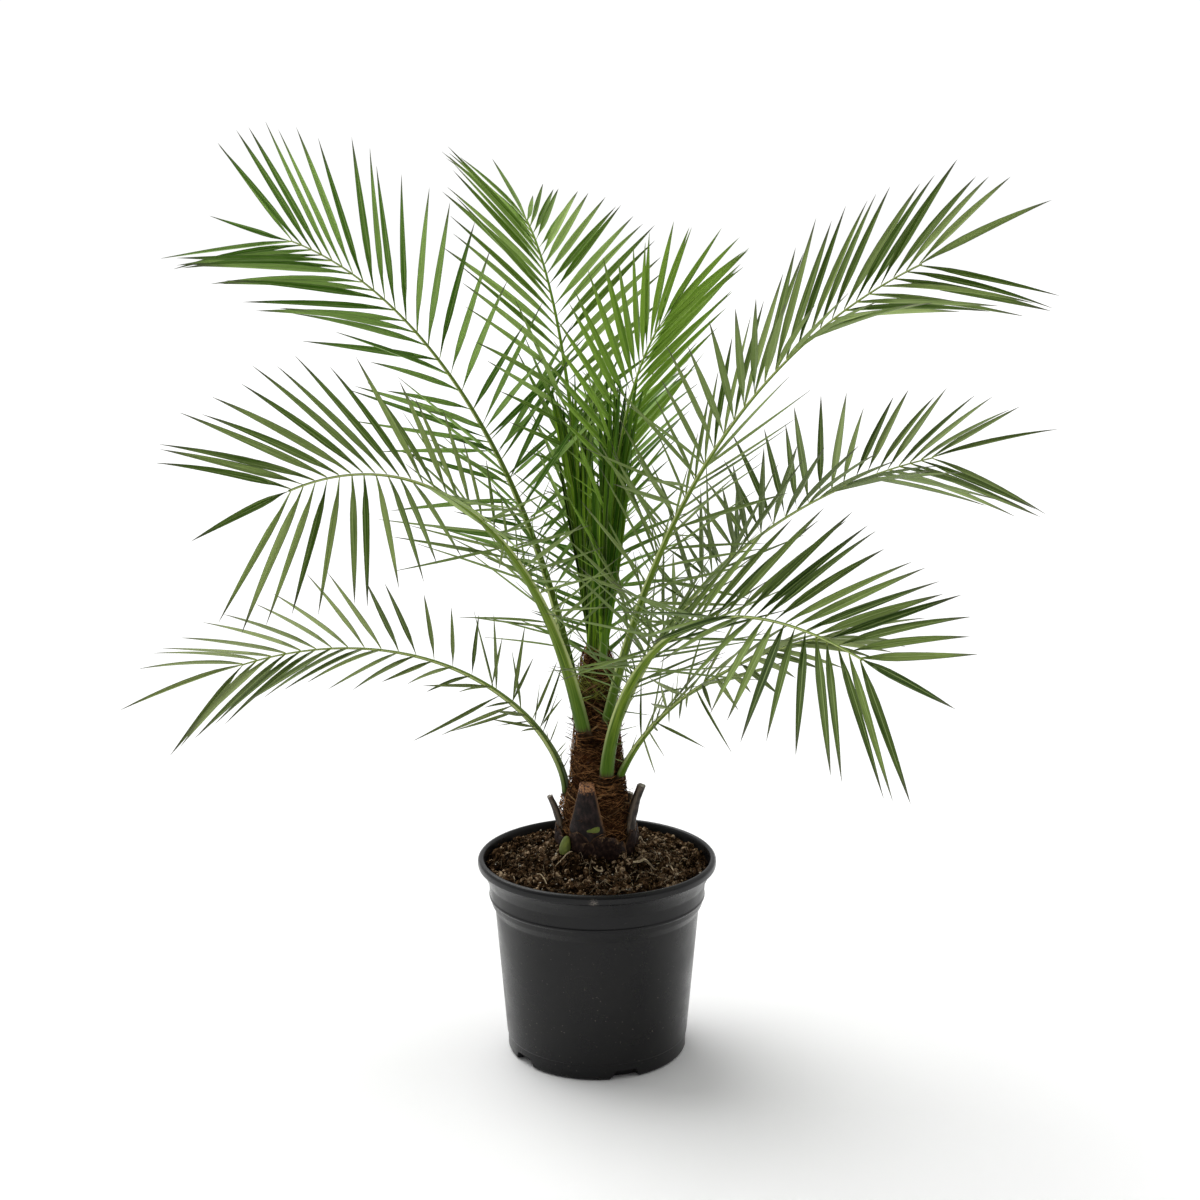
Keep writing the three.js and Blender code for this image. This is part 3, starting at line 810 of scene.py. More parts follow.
@dataclass(frozen=True)
class Trunk:
    """The fibrous trunk: its radius at each height, and what is wound about it.

    Pairs of values are the least and the most that are drawn. A strand's sweep is how far it
    turns about the trunk in degrees, and its half is half its thickness.
    """

    heights: tuple[float, ...] = (203, 212, 226, 240, 259, 281, 322, 351, 385, 405, 416, 422)
    radii: tuple[float, ...] = (31, 34, 35.5, 34, 30.5, 26, 22.5, 20, 16.5, 14.5, 11, 7)
    core_span: Span = (203.5, 421.5)
    ridges: int = 24
    ridge_rate: float = 0.9
    strands: int = 3000
    strand_heights: Span = (208, 418)
    strand_sweep: Span = (18, 80)
    strand_half: Span = (0.14, 0.42)
    loose_share: float = 0.09
    loose_reach: Span = (3, 9)
    collar_strands: int = 34
    collar_reach: Span = (22, 60)
    collar_half: Span = (0.2, 0.5)
    young_strands: int = 170
    young_heights: Span = (372, 400)
    young_sweep: Span = (30, 110)
    edges: int = 70
    edge_heights: Span = (215, 395)
    edge_sweep: Span = (40, 110)
    edge_fall: Span = (12, 34)
    edge_half: Span = (0.5, 1.15)
    foot_scales: int = 27
    scale_foot: float = 204
    scale_top: float = 224
    scale_half_turn: Span = (14, 27)
    thorns: int = 60
    thorn_heights: Span = (300, 395)
    thorn_length: Span = (5, 13)

    def radius(self, height: Array | float) -> Array:
        """The trunk's radius at a height."""
        return np.interp(height, self.heights, self.radii)

    def wound(self, heading: Array, height: Array, proud: Array) -> Array:
        """Points on the trunk, standing proud of it."""
        return polar(self.radius(height) + proud, heading, height)

    def core(self, finish: Finish) -> None:
        """The trunk's body, with the lumps and diagonal weave of old leaf sheaths.

        The weave is the product of two sines that wind up the trunk opposite ways.

        Args:
            finish: What makes its material.
        """
        rows, columns = 190, 220
        share = np.linspace(0, 1, rows)
        height = mix(*self.core_span, share)[:, None]
        heading = np.linspace(0, 360, columns, endpoint=False)[None]
        base = self.wound(heading, height, 0)
        round_, up = np.radians(self.ridges * heading), height * self.ridge_rate
        weave = np.sin(round_ + up) * np.sin(round_ - up)
        proud = 1.1 * relief(base, 12, Seed.TRUNK) + 0.45 * weave - 0.6
        rings = self.wound(heading, height, proud)[None]
        skin = Skin()
        skin.bars(rings, share, np.linspace(0, 1, columns))
        skin.build("trunk_core", finish, "trunk", ["trunk"])

    def strand_rings(self, middle: Array, half: Array, flat: float = 1.0) -> Array:
        """Three-sided bars along paths, whose size goes as the square root of a half sine.

        Args:
            middle: The paths, (strands, steps, 3).
            half: Half the thickness of each strand.
            flat: The thickness outwards as a share of that sideways.

        Returns:
            Rings of three corners, (strands, steps, 3, 3).
        """
        along = unit(np.gradient(middle, axis=1))
        outward = unit(middle * [1, 1, 0])
        sideways = unit(np.cross(along, outward))
        outward = np.cross(sideways, along)
        angle = np.radians([90, 210, 330])
        steps = np.linspace(0, 1, middle.shape[1])
        size = column(column(half) * np.sin(np.pi * np.clip(steps, 0.04, 0.96)) ** 0.5)[..., None]
        aside = sideways[:, :, None] * np.cos(angle)[:, None]
        around = aside + outward[:, :, None] * (flat * np.sin(angle))[:, None]
        return middle[:, :, None] + around * size

    def fibre(self, finish: Finish, fronds: Sequence["Frond"]) -> None:
        """Fine strands wound about the trunk, collars over each stalk's foot, and loose hairs.

        A collar's strand rises over the stalk as exp(-(shift / 17)^2), shift being degrees.

        Args:
            finish: What makes their material.
            fronds: The fronds whose feet have a collar.
        """
        count, steps = self.strands, np.linspace(0, 1, 8)[None]
        draw = np.random.default_rng(Seed.FIBRE)
        height = column(draw.uniform(*self.strand_heights, count))
        start = column(draw.uniform(0, 360, count))
        sweep = column(draw.uniform(*self.strand_sweep, count) * draw.choice([-1, 1], count))
        climb = column(draw.normal(0, 7, count))
        is_loose = draw.random(count) < self.loose_share
        far, near = draw.uniform(*self.loose_reach, count), draw.uniform(0, 1.2, count)
        loose = column(np.where(is_loose, far, near))
        wave = 2.5 * np.sin(steps * 6 + start)
        heights = np.clip(height + climb * (steps - 0.5) + wave, 205, 421)
        proud = 0.7 + draw.uniform(0, 1.5, (count, 1)) + loose * steps**3
        paths = self.wound(start + sweep * steps, heights, proud)
        half = draw.uniform(*self.strand_half, count)
        skin = Skin()
        skin.bars(self.strand_rings(paths, half), steps[0], tone=draw.uniform(-1, 0.75, count))
        count = self.collar_strands
        for number, frond in enumerate(fronds):
            height = frond.foot + column(draw.uniform(-20, -1, count))
            reach = column(draw.uniform(*self.collar_reach, count))
            shift = reach * (steps * 2 - 1) * (1 if number % 2 else -1)
            over = (frond.stalk * 1.35 + 0.8) * np.exp(-((shift / 17) ** 2))
            tilt = column(draw.normal(0, 4, count)) * (steps * 2 - 1)
            proud = over + draw.uniform(0.2, 1.6, (count, 1))
            paths = self.wound(frond.heading + shift, height + tilt, proud)
            half = draw.uniform(*self.collar_half, count)
            skin.bars(self.strand_rings(paths, half), steps[0], tone=draw.uniform(-0.8, 0.9, count))
        skin.build("trunk_fibre", finish, "trunk")

    def young_fibre(self, finish: Finish) -> None:
        """Yellow-green fibres of the youngest sheaths, wound about the top of the trunk.

        Args:
            finish: What makes their material.
        """
        count, steps = self.young_strands, np.linspace(0, 1, 8)[None]
        draw = np.random.default_rng(Seed.YOUNG_FIBRE)
        height = column(draw.uniform(*self.young_heights, count))
        sweep = column(draw.uniform(*self.young_sweep, count) * draw.choice([-1, 1], count))
        climb = column(draw.normal(0, 12, count))
        heading = column(draw.uniform(0, 360, count)) + sweep * steps
        paths = self.wound(heading, height + climb * steps, draw.uniform(1.5, 4.5, (count, 1)))
        half = draw.uniform(*self.collar_half, count)
        skin = Skin()
        skin.bars(self.strand_rings(paths, half), steps[0], tone=draw.uniform(-0.6, 1, count))
        skin.build("young_fibre", finish, "trunk")

    def sheath_edges(self, finish: Finish) -> None:
        """Flat tan bands, the edges of old sheaths, that cross the trunk on the slant.

        Args:
            finish: What makes their material.
        """
        count, steps = self.edges, np.linspace(0, 1, 12)[None]
        draw = np.random.default_rng(Seed.SHEATH_EDGES)
        height = column(draw.uniform(*self.edge_heights, count))
        sweep = column(draw.uniform(*self.edge_sweep, count) * draw.choice([-1, 1], count))
        fall = column(draw.uniform(*self.edge_fall, count))
        heights = np.clip(height - fall * steps + 3 * np.sin(3 * steps), 206, 419)
        heading = column(draw.uniform(0, 360, count)) + sweep * steps
        paths = self.wound(heading, heights, 1.6 + 1.8 * np.sin(np.pi * steps))
        half = draw.uniform(*self.edge_half, count)
        skin = Skin()
        skin.bars(self.strand_rings(paths, half, 0.5), steps[0], tone=draw.uniform(-0.4, 1, count))
        skin.build("sheath_edges", finish, "trunk")

    def scales(self, finish: Finish) -> None:
        """Broad dead scales round the foot of the trunk, over the feet of the cut leaves.

        They follow each other by the golden angle in three tiers. A scale narrows upwards as
        the square root of 1 - up^2.6, and its ragged top curls outwards.

        Args:
            finish: What makes their material.
        """
        count, rows, columns = self.foot_scales, 9, 14
        draw = np.random.default_rng(Seed.SCALES)
        order = np.arange(count)
        heading = (order * GOLDEN_ANGLE + draw.uniform(-12, 12, count))[:, None, None]
        tier = (order % 3)[:, None, None]
        up = np.linspace(0, 1, rows)[None, :, None]
        top = self.scale_top + 7 * tier + draw.uniform(-4, 4, (count, 1, 1))
        height = mix(self.scale_foot, top, up)
        narrowing = np.sqrt(np.clip(1 - up**2.6, 0, 1))
        half = draw.uniform(*self.scale_half_turn, (count, 1, 1)) * narrowing
        angle = np.linspace(0, 2 * np.pi, columns, endpoint=False)[None, None]
        across = np.cos(angle)
        ragged = draw.normal(0, 2.2, (count, 1, columns)) * ease(up)
        curl = draw.uniform(-1, 5, (count, 1, 1)) * up**3
        proud = mix(9.5 - 1.6 * tier, 4.5, up**0.7)
        radius = self.radius(height) + proud + curl - 2.4 * across**2 + 0.8 * np.sin(angle)
        points = polar(radius, heading + across * half, height + ragged)
        lumps = 1.6 * relief(points, 9, Seed.SCALE_RELIEF, 2)
        points = points + unit(points * [1, 1, 0]) * column(lumps)
        skin = Skin()
        skin.bars(points, up[0, :, 0], (across[0, 0] + 1) / 2, np.sin(angle[0, 0]))
        skin.build("foot_scales", finish, "trunk")

    def thorning(self, finish: Finish) -> None:
        """Short dark thorns and broken hairs that stand out from the upper trunk.

        Args:
            finish: What makes their material.
        """
        count, steps = self.thorns, np.linspace(0, 1, 5)[None]
        draw = np.random.default_rng(Seed.THORNS)
        height = column(draw.uniform(*self.thorn_heights, count))
        on_left = draw.random(count) < 0.4
        heading = column(np.where(on_left, draw.uniform(165, 205, count), draw.uniform(0, 360, count)))
        length = column(draw.uniform(*self.thorn_length, count))
        paths = self.wound(heading + 12 * steps, height + length * 0.6 * steps, length * steps)
        half = draw.uniform(0.25, 0.5, count)
        skin = Skin()
        skin.bars(self.strand_rings(paths, half), steps[0], tone=draw.uniform(-1, 0, count))
        skin.build("trunk_thorns", finish, "trunk")


@dataclass(frozen=True)
class LeafBase:
    """A cut leaf base: its foot hugs the trunk, and its stub curves up and out to a raw cut."""

    name: str
    heading: float
    foot: float
    top: float
    reach: float
    width: float
    tip: float
    depth: float
    skirt: float = 1.35
    buried: float = 209.0
    raw_corner: tuple[float, ...] = (0.93, 0.7, 0.4, 0)
    raw_length: tuple[float, ...] = (0.96, 1.0, 1.1, 1.2)

    def build(self, trunk: Trunk, finish: Finish) -> None:
        """Sections from the compost to the cut, then a ragged cut face.

        Below the foot the section widens and wraps the trunk; above it the section's middle
        stands off by reach times the share of the height to the power 1.6, as its solid does.

        Args:
            trunk: The trunk that it hugs.
            finish: What makes its material.
        """
        rows, corners, low = 34, 20, self.buried
        height = np.concatenate([np.linspace(low - 2, self.top, rows), np.full(4, self.top)])
        share = (height - self.foot) / (self.top - self.foot)
        up = np.clip(share, 0, 1)
        down = np.clip((self.foot - height) / (self.foot - low), 0, 1)
        close = np.concatenate([np.ones(rows), self.raw_corner])
        half_width = mix(self.width, self.tip, up**0.8) / 2 * mix(1, self.skirt, ease(down)) * close
        half_depth = mix(mix(self.depth + 2, self.depth, up) / 2, 1.6, down) * close
        radius = trunk.radius(height) + self.reach * up**1.6
        angle = np.linspace(0, 2 * np.pi, corners, endpoint=False)[None]
        off = half_width[:, None] * np.cos(angle)
        grooves = 1 + 0.05 * np.sin(angle * 5 + self.heading)
        out = half_depth[:, None] * np.sin(angle) * grooves
        lean = np.arctan(np.gradient(radius[:rows], height[:rows]))
        tilt = np.concatenate([lean, np.full(4, lean[-1])])
        wrap = mix(1.0, 0.35, up)[:, None]
        bent = np.degrees(off * wrap / radius[:, None])
        middle = radius[:, None] + out * np.cos(tilt)[:, None]
        points = polar(middle, self.heading + bent, height[:, None] - out * np.sin(tilt)[:, None])
        sideways = polar(1.0, self.heading + 90, 0.0)
        points = points + column(off * (1 - wrap)) * sideways
        ragged = relief(points, 3.0, Seed.CUT_FACE, 2) * 1.4
        points[..., 2] += np.where(np.arange(len(height)) >= rows - 1, 1, 0)[:, None] * ragged
        points += unit(points * [1, 1, 0]) * column(0.5 * relief(points, 7.0, Seed.LEAF_BASE, 2))
        along = np.concatenate([np.clip(share[:rows], -0.5, 1) * 0.9, self.raw_length])
        skin = Skin()
        skin.bars(points[None], along, (np.cos(angle[0]) + 1) / 2, np.sin(angle[0]))
        skin.build("leaf_base_" + self.name, finish, "leaf_base", ["boot_" + self.name])


# Fronds


@dataclass
class Rib:
    """A rib read at some shares of its length: one row each of place and directions."""

    place: Array
    along: Array
    side: Array
    face: Array
    level: Array
    upper: Array

    def at(self, share: Array) -> "Rib":
        """The rib read again, between its own evenly spaced rows.

        Args:
            share: Shares of the rib's length.

        Returns:
            A rib with a row for each share.
        """
        steps = len(self.place) - 1
        where = np.clip(share, 0, 1) * steps
        low = np.minimum(where.astype(int), steps - 1)
        part = column(where - low)
        rows = {name: mix(values[low], values[low + 1], part) for name, values in vars(self).items()}
        return Rib(rows.pop("place"), **{name: unit(values) for name, values in rows.items()})


@dataclass(frozen=True)
class LeafShape:
    """A leaflet's outline: a lance, widest a third of the way up, with a needle tip."""

    stations: tuple[float, ...] = (
        0, 0.012, 0.05, 0.12, 0.22, 0.33, 0.47, 0.61, 0.74, 0.85, 0.93, 0.98, 1,
    )
    widest: float = 0.34
    heel: float = 0.24
    fullness: float = 1.8

    def half(self) -> Array:
        """Half width at each station, as a share of the widest.

        It swells from the heel as a quarter sine and falls off by 1 minus a power of the rest.

        Returns:
            One value for each station.
        """
        share = np.array(self.stations)
        swell = mix(self.heel, 1, np.sin(np.pi / 2 * np.minimum(share / self.widest, 1)))
        return swell * (1 - np.clip((share - self.widest) / (1 - self.widest), 0, 1) ** self.fullness)


LANCE = LeafShape()
NARROW = LeafShape(fullness=1.6)
SPINE = LeafShape(stations=(0, 0.03, 0.15, 0.4, 0.7, 0.92, 1), widest=0.2, heel=0.7, fullness=1.3)
FOLDED = LeafShape(heel=0.5, fullness=2.4)
WRAPPED = LeafShape(heel=0.6, fullness=2.6)


@dataclass
class Leaflets:
    """Many leaflets, one row of every array for each."""

    root: Array
    direction: Array
    broad: Array
    upward: Array
    length: Array
    width: Array
    fold: Array
    bow: Array
    tone: Array

    def grow(self, skin: Skin, shape: LeafShape) -> None:
        """Adds the leaflets: a folded blade of two halves with its keel beneath.

        A point's edge lies half the width out, raised by the fold; the middle line bends by
        bow x length x (s^2 - 0.7 s) downwards, which arches it but keeps its tip in place.

        Args:
            skin: The mesh that they are added to.
            shape: Their outline.
        """
        share = np.array(shape.stations)[None]
        half = column(self.width) / 2 * shape.half()[None]
        fold = np.radians(column(self.fold) * mix(1.9, 0.75, ease(share / 0.3)))
        arch = column(self.length * self.bow) * (share**2 - 0.7 * share)
        middle = self.root[:, None] + self.direction[:, None] * column(column(self.length) * share)
        middle = middle + arch[..., None] * np.array([0, 0, -1.0])
        twist = column(25 * noise(self.length * 3.7)) * share
        axis = np.broadcast_to(self.direction[:, None], middle.shape)
        broad = turned(np.broadcast_to(self.broad[:, None], middle.shape), axis, twist)
        upward = np.cross(axis, broad)
        out = broad * column(half * np.cos(fold))
        rise = upward * column(half * np.sin(fold))
        keel = upward * column(0.25 + 0.16 * half)
        rings = np.stack([middle + out + rise, middle, middle - out + rise, middle - keel], axis=2)
        skin.bars(rings, share[0], np.array([1, 0.5, 0, 0.5]), np.array([0, 1, 0, -1]), self.tone)


@dataclass(frozen=True)
class LeafletRule:
    """How the leaflets of every frond are set out along its rib."""

    crowding: float = 0.75
    first_length: float = 0.3
    end_shortening: float = 0.14
    sag_shortening: float = 0.011
    sag_fading: float = 0.55
    spread_jitter: float = 3
    lift_jitter: float = 6
    length_jitter: float = 0.05
    folded_length: float = 165
    folded_lift: float = 10
    last: float = 0.998
    last_length: float = 0.84


RULE = LeafletRule()


@dataclass(frozen=True)
class Frond:
    """One frond. Pairs of values run from the foot of the blade to its tip.

    heading and swing turn it as seen from above; rise, droop and bow set its climb; roll,
    lift, spread, sag and twist lay its leaflets out, and the longest starts at the share full
    of the blade; bare is the share of the rib without any.
    """

    name: str
    number: int
    heading: float
    swing: float
    rise: float
    droop: float
    bow: float
    length: float
    foot: float
    roll: tuple[float, float]
    lift: tuple[float, float]
    spread: tuple[float, float]
    sag: float
    twist: float
    leaflet: float
    full: float
    bare: float
    pairs: int
    stalk: float
    folded: int
    greens: LeafFinish
    stems: StalkFinish

    def rib(self, trunk: Trunk, steps: int = 240) -> Rib:
        """Walks the rib in short steps: each follows the mean of the headings at its ends.

        The climb at a share s of the length is rise - droop x s^bow.

        Args:
            trunk: The trunk that it starts from.
            steps: How many steps.

        Returns:
            The rib, with a row at each end of a step.
        """
        share = np.linspace(0, 1, steps + 1)
        climb = np.radians(self.rise - self.droop * share**self.bow)
        heading = np.radians(self.heading + self.swing * share)
        outward = np.cos(climb)
        along = np.stack([outward * np.cos(heading), outward * np.sin(heading), np.sin(climb)], -1)
        level = np.stack([-np.sin(heading), np.cos(heading), np.zeros_like(heading)], -1)
        upper = np.cross(along, level)
        roll = column(np.radians(mix(*self.roll, share)))
        side = level * np.cos(roll) + upper * np.sin(roll)
        face = upper * np.cos(roll) - level * np.sin(roll)
        start = polar(trunk.radius(self.foot) + self.stalk * 0.75, self.heading, self.foot)
        walked = unit(along[1:] + along[:-1]) * self.length / steps
        place = np.concatenate([[start], start + np.cumsum(walked, axis=0)])
        return Rib(place, along, side, face, level, upper)

    def half_width(self, share: Array) -> Array:
        """The rib's half width: full at the foot, 1.2 at the tip."""
        return mix(1.2, self.stalk, (1 - np.clip(share, 0, 1)) ** 1.7)

    def blade(
        self, rib: Rib, share: Array, hand: Array, spread: Array, lift: Array, length: Array, **more: Array
    ) -> Leaflets:
        """Leaflets from their angles to the rib.

        Args:
            rib: The walked rib.
            share: Where each one leaves it.
            hand: 1 for one side of the rib and -1 for the other.
            spread: Angle to the rib, in degrees.
            lift: Angle out of the plane of the blade, in degrees.
            length: Length of each.
            **more: width, fold, bow, tone and extra twist of each.

        Returns:
            The leaflets, their roots sunk in the rib.
        """
        at = rib.at(share)
        tilt, open_ = column(np.radians(lift)), column(np.radians(spread))
        outward = at.side * column(hand) * np.cos(tilt) + at.face * np.sin(tilt)
        direction = unit(at.along * np.cos(open_) + outward * np.sin(open_))
        across = unit(at.along - direction * column((at.along * direction).sum(-1)))
        across = turned(across, direction, hand * (self.twist + more.pop("turn", 0)))
        broad = -column(hand) * across
        root = at.place + outward * column(self.half_width(share) * 0.35)
        return Leaflets(root, direction, broad, np.cross(direction, broad), length, **more)

    def leaflets(self, rib: Rib) -> Leaflets:
        """The leaflets of the blade, by the same rule as the solid's, and the last at the tip.

        Args:
            rib: The walked rib.

        Returns:
            The leaflets of both hands.
        """
        hand = np.repeat([1, -1], self.pairs)
        order = np.tile(np.arange(self.pairs), 2)
        seed = self.number * 1000 + order * 8 + np.where(hand > 0, 4, 0)
        step = order / (self.pairs - 1)
        share = mix(self.bare, 0.995, step**RULE.crowding)
        growth = np.sin(np.minimum(step / self.full, 1) * np.pi / 2)
        end = np.maximum(0, (step - 0.75) / 0.25) ** 2
        length = self.leaflet * mix(RULE.first_length, 1, growth) * (1 - RULE.end_shortening * end)
        drooping = np.where(hand == np.sign(self.sag), abs(self.sag), 0)
        length = length * (1 - RULE.sag_shortening * drooping * (1 - step))
        length = length * (1 + RULE.length_jitter * noise(seed))
        spread = mix(*self.spread, step) + drooping * (1 - RULE.sag_fading * step**2)
        spread = spread + RULE.spread_jitter * noise(seed + 1)
        lift = mix(*self.lift, step) + RULE.lift_jitter * noise(seed + 2)
        share, hand = np.append(share, RULE.last), np.append(hand, 1)
        length = np.append(length, self.leaflet * RULE.last_length)
        seed = np.append(seed, self.number * 1000 + 900)
        return self.blade(
            rib,
            share,
            hand,
            np.append(spread, 2),
            np.append(lift, 0),
            length,
            turn=8 * noise(seed + 3),
            width=(2.0 + 0.045 * length) * mix(0.66, 1, ease(share / 0.62)),
            fold=39 + 9 * noise(seed + 4),
            bow=0.05 + 0.05 * noise(seed + 5),
            tone=noise(seed + 6),
        )

    def strewn(self, count: int, first: int) -> tuple[Array, Array, Array]:
        """Deals out leaflets that keep to no rank.

        Args:
            count: How many on each hand.
            first: Where their seeds start, so that no two kinds share one.

        Returns:
            The hand, an uneven step from 0 to 1 and the seed of each.
        """
        order = np.tile(np.arange(count), 2)
        hand = np.repeat([1, -1], count)
        seed = self.number * 1000 + first + order * 11 + np.where(hand > 0, 5, 0)
        return hand, np.clip((order + 0.45 * noise(seed)) / (count - 1), 0, 1), seed

    def spines(self, rib: Rib) -> Leaflets:
        """Stiff spines, far apart, along the bare stalk.

        Args:
            rib: The walked rib.

        Returns:
            The spines.
        """
        hand, step, seed = self.strewn(int(3 + self.length * self.bare / 24), 300)
        length = mix(15, 52, step) * (1 + 0.35 * noise(seed + 1))
        return self.blade(
            rib,
            mix(0.06, self.bare + 0.03, step),
            hand,
            58 + 22 * noise(seed + 2),
            30 + 50 * noise(seed + 3),
            length,
            turn=40 * noise(seed + 4),
            width=1.5 + 0.014 * length,
            fold=np.full(len(step), 40.0),
            bow=0.04 * noise(seed + 6),
            tone=noise(seed + 7),
        )

    def inner(self, rib: Rib) -> Leaflets:
        """Narrow leaflets at all angles where the blade begins, which cross those of other fronds.

        A frond whose leaflets are soon at their full length has more of them, and longer ones.

        Args:
            rib: The walked rib.

        Returns:
            The narrow leaflets.
        """
        vigour = 1.25 - 0.55 * self.full
        first, last = max(0.18, self.bare - 0.2), self.bare + 0.17
        spacing = 26 if self.folded else 11.5
        hand, step, seed = self.strewn(int(2 + vigour * self.length * (last - first) / spacing), 600)
        length = self.leaflet * vigour * mix(0.62, 0.94, step) * (1 + 0.16 * noise(seed + 1))
        lowered = np.where(hand * self.sag < 0, abs(self.sag), 0)
        spread = 26 + 10 * noise(seed + 2) if self.folded else 64 + 15 * noise(seed + 2)
        return self.blade(
            rib,
            mix(first, last, step),
            hand,
            spread,
            0.3 * self.lift[0] - lowered + 38 * noise(seed + 3),
            length,
            turn=30 * noise(seed + 4),
            width=1.9 + 0.031 * length,
            fold=34 + 8 * noise(seed + 5),
            bow=0.05 * noise(seed + 6),
            tone=noise(seed + 7),
        )

    def shut(self, rib: Rib) -> Leaflets:
        """Leaflets that are still folded shut along the stalk, more of them than in the solid.

        Args:
            rib: The walked rib.

        Returns:
            The shut leaflets, each stood a little off the stalk.
        """
        hand, step, seed = self.strewn(self.folded * 3, 500)
        length = RULE.folded_length * mix(1.1, 0.8, step) * (1 + 0.16 * noise(seed + 2))
        shut = self.blade(
            rib,
            mix(0.02, self.bare, step**1.1),
            hand,
            mix(3.0, 7.5, step) + 2.5 * noise(seed),
            RULE.folded_lift + 80 * noise(seed + 1),
            length,
            turn=60 * noise(seed + 4),
            width=4.4 + 0.02 * length,
            fold=np.full(len(step), 50.0),
            bow=0.05 * noise(seed + 5),
            # The tone is spread wide and clipped, so that many shut leaflets take their finish's
            # near-black: painted shade for the deep shade between them.
            tone=np.clip(1.6 * noise(seed + 6), -1, 1),
        )
        shut.root = shut.root + shut.upward * column(1.2 * noise(seed + 7))
        return shut

    def stem(self, rib: Rib, trunk: Trunk) -> Skin:
        """The stalk and rib: channelled above, rounded beneath, and sheathing the trunk below.

        A section is an oval, flatter above, where a bell curve of its width is sunk into it.

        Args:
            rib: The walked rib.
            trunk: The trunk that its foot wraps.

        Returns:
            A mesh that isn't built yet.
        """
        corners, tail = 16, 9
        share = np.concatenate([np.linspace(0, 0.12, 10), np.linspace(0.15, 0.999, 60), [1.0]])
        at = rib.at(share)
        angle = np.linspace(0, 2 * np.pi, corners, endpoint=False)[None]
        half = self.half_width(share)[:, None]
        above = np.sin(angle) > 0
        channel = 0.3 * np.exp(-((np.cos(angle) / 0.55) ** 2)) * (1 - 0.8 * share[:, None])
        rise = np.where(above, 0.55 * np.sin(angle) - channel, 0.85 * np.sin(angle)) * half
        off = np.cos(angle) * half
        rings = at.place[:, None] + at.level[:, None] * column(off) + at.upper[:, None] * column(rise)

        fall = np.linspace(1, 0.1, tail)[:, None]
        height = self.foot - 15 * fall
        broad = self.stalk * (1 + 0.25 * ease(fall))
        thick = mix(self.stalk * 0.62, 0.8, ease(fall))
        radius = trunk.radius(height) + self.stalk * 0.75 * (1 - ease(fall)) - 1.2 * fall
        bent = np.degrees(np.cos(angle) * broad / radius)
        sheath = polar(radius - np.sin(angle) * thick, self.heading + bent, height)
        rings = np.concatenate([sheath, rings])[None]
        along = np.concatenate([-fall[:, 0] * 0.03, share])
        skin = Skin()
        skin.bars(rings, along, (np.cos(angle[0]) + 1) / 2, np.sin(angle[0]))
        return skin

    def build(self, trunk: Trunk) -> None:
        """The stem, and the leaflets, spines and shut leaflets that grow from it.

        Args:
            trunk: The trunk that it grows from.
        """
        rib = self.rib(trunk)
        nodes = [f"frond_{self.name}_stalk", f"frond_{self.name}_blade"]
        slot = "young_leaf" if self.folded else "frond"
        self.stem(rib, trunk).build("stem_" + self.name, self.stems, slot, nodes)
        skin = Skin()
        self.leaflets(rib).grow(skin, LANCE)
        self.inner(rib).grow(skin, NARROW)
        self.spines(rib).grow(skin, SPINE)
        skin.build("foliage_" + self.name, self.greens, slot, crease=60)
        if self.folded:
            skin = Skin()
            self.shut(rib).grow(skin, FOLDED)
            skin.build("shut_" + self.name, SHUT, slot, crease=60)


@dataclass(frozen=True)
class Spear:
    """The newest leaf, still shut: narrow leaflets laid close together about one axis."""

    bottom: float = 388
    top: float = 596
    radius: float = 11
    lean: float = 5
    leaflets: int = 40
    width: float = 5.4
    fold: float = 42.0

    def build(self, finish: Finish) -> None:
        """Leaflets that start round the foot and end at staggered heights.

        Args:
            finish: What makes their material.
        """
        order = np.arange(self.leaflets)
        heading = order * GOLDEN_ANGLE
        low = polar(self.radius, heading, self.bottom + 9 * noise(order))
        high = polar(2.5, heading, self.top - 120 * ((order * 0.618) % 1)) + [self.lean, 0, 0]
        direction = unit(high - low)
        outward = polar(1.0, heading, 0.0)
        broad = unit(np.cross(outward, direction))
        length = np.linalg.norm(high - low, axis=1)
        width = np.full(self.leaflets, self.width)
        fold = np.full(self.leaflets, self.fold)
        upward = np.cross(direction, broad)
        shut = Leaflets(low, direction, broad, upward, length, width, fold, 0 * fold, noise(order))
        skin = Skin()
        shut.grow(skin, WRAPPED)
        skin.build("spear_leaflets", finish, "young_leaf", ["spear"])


# The pot and its compost


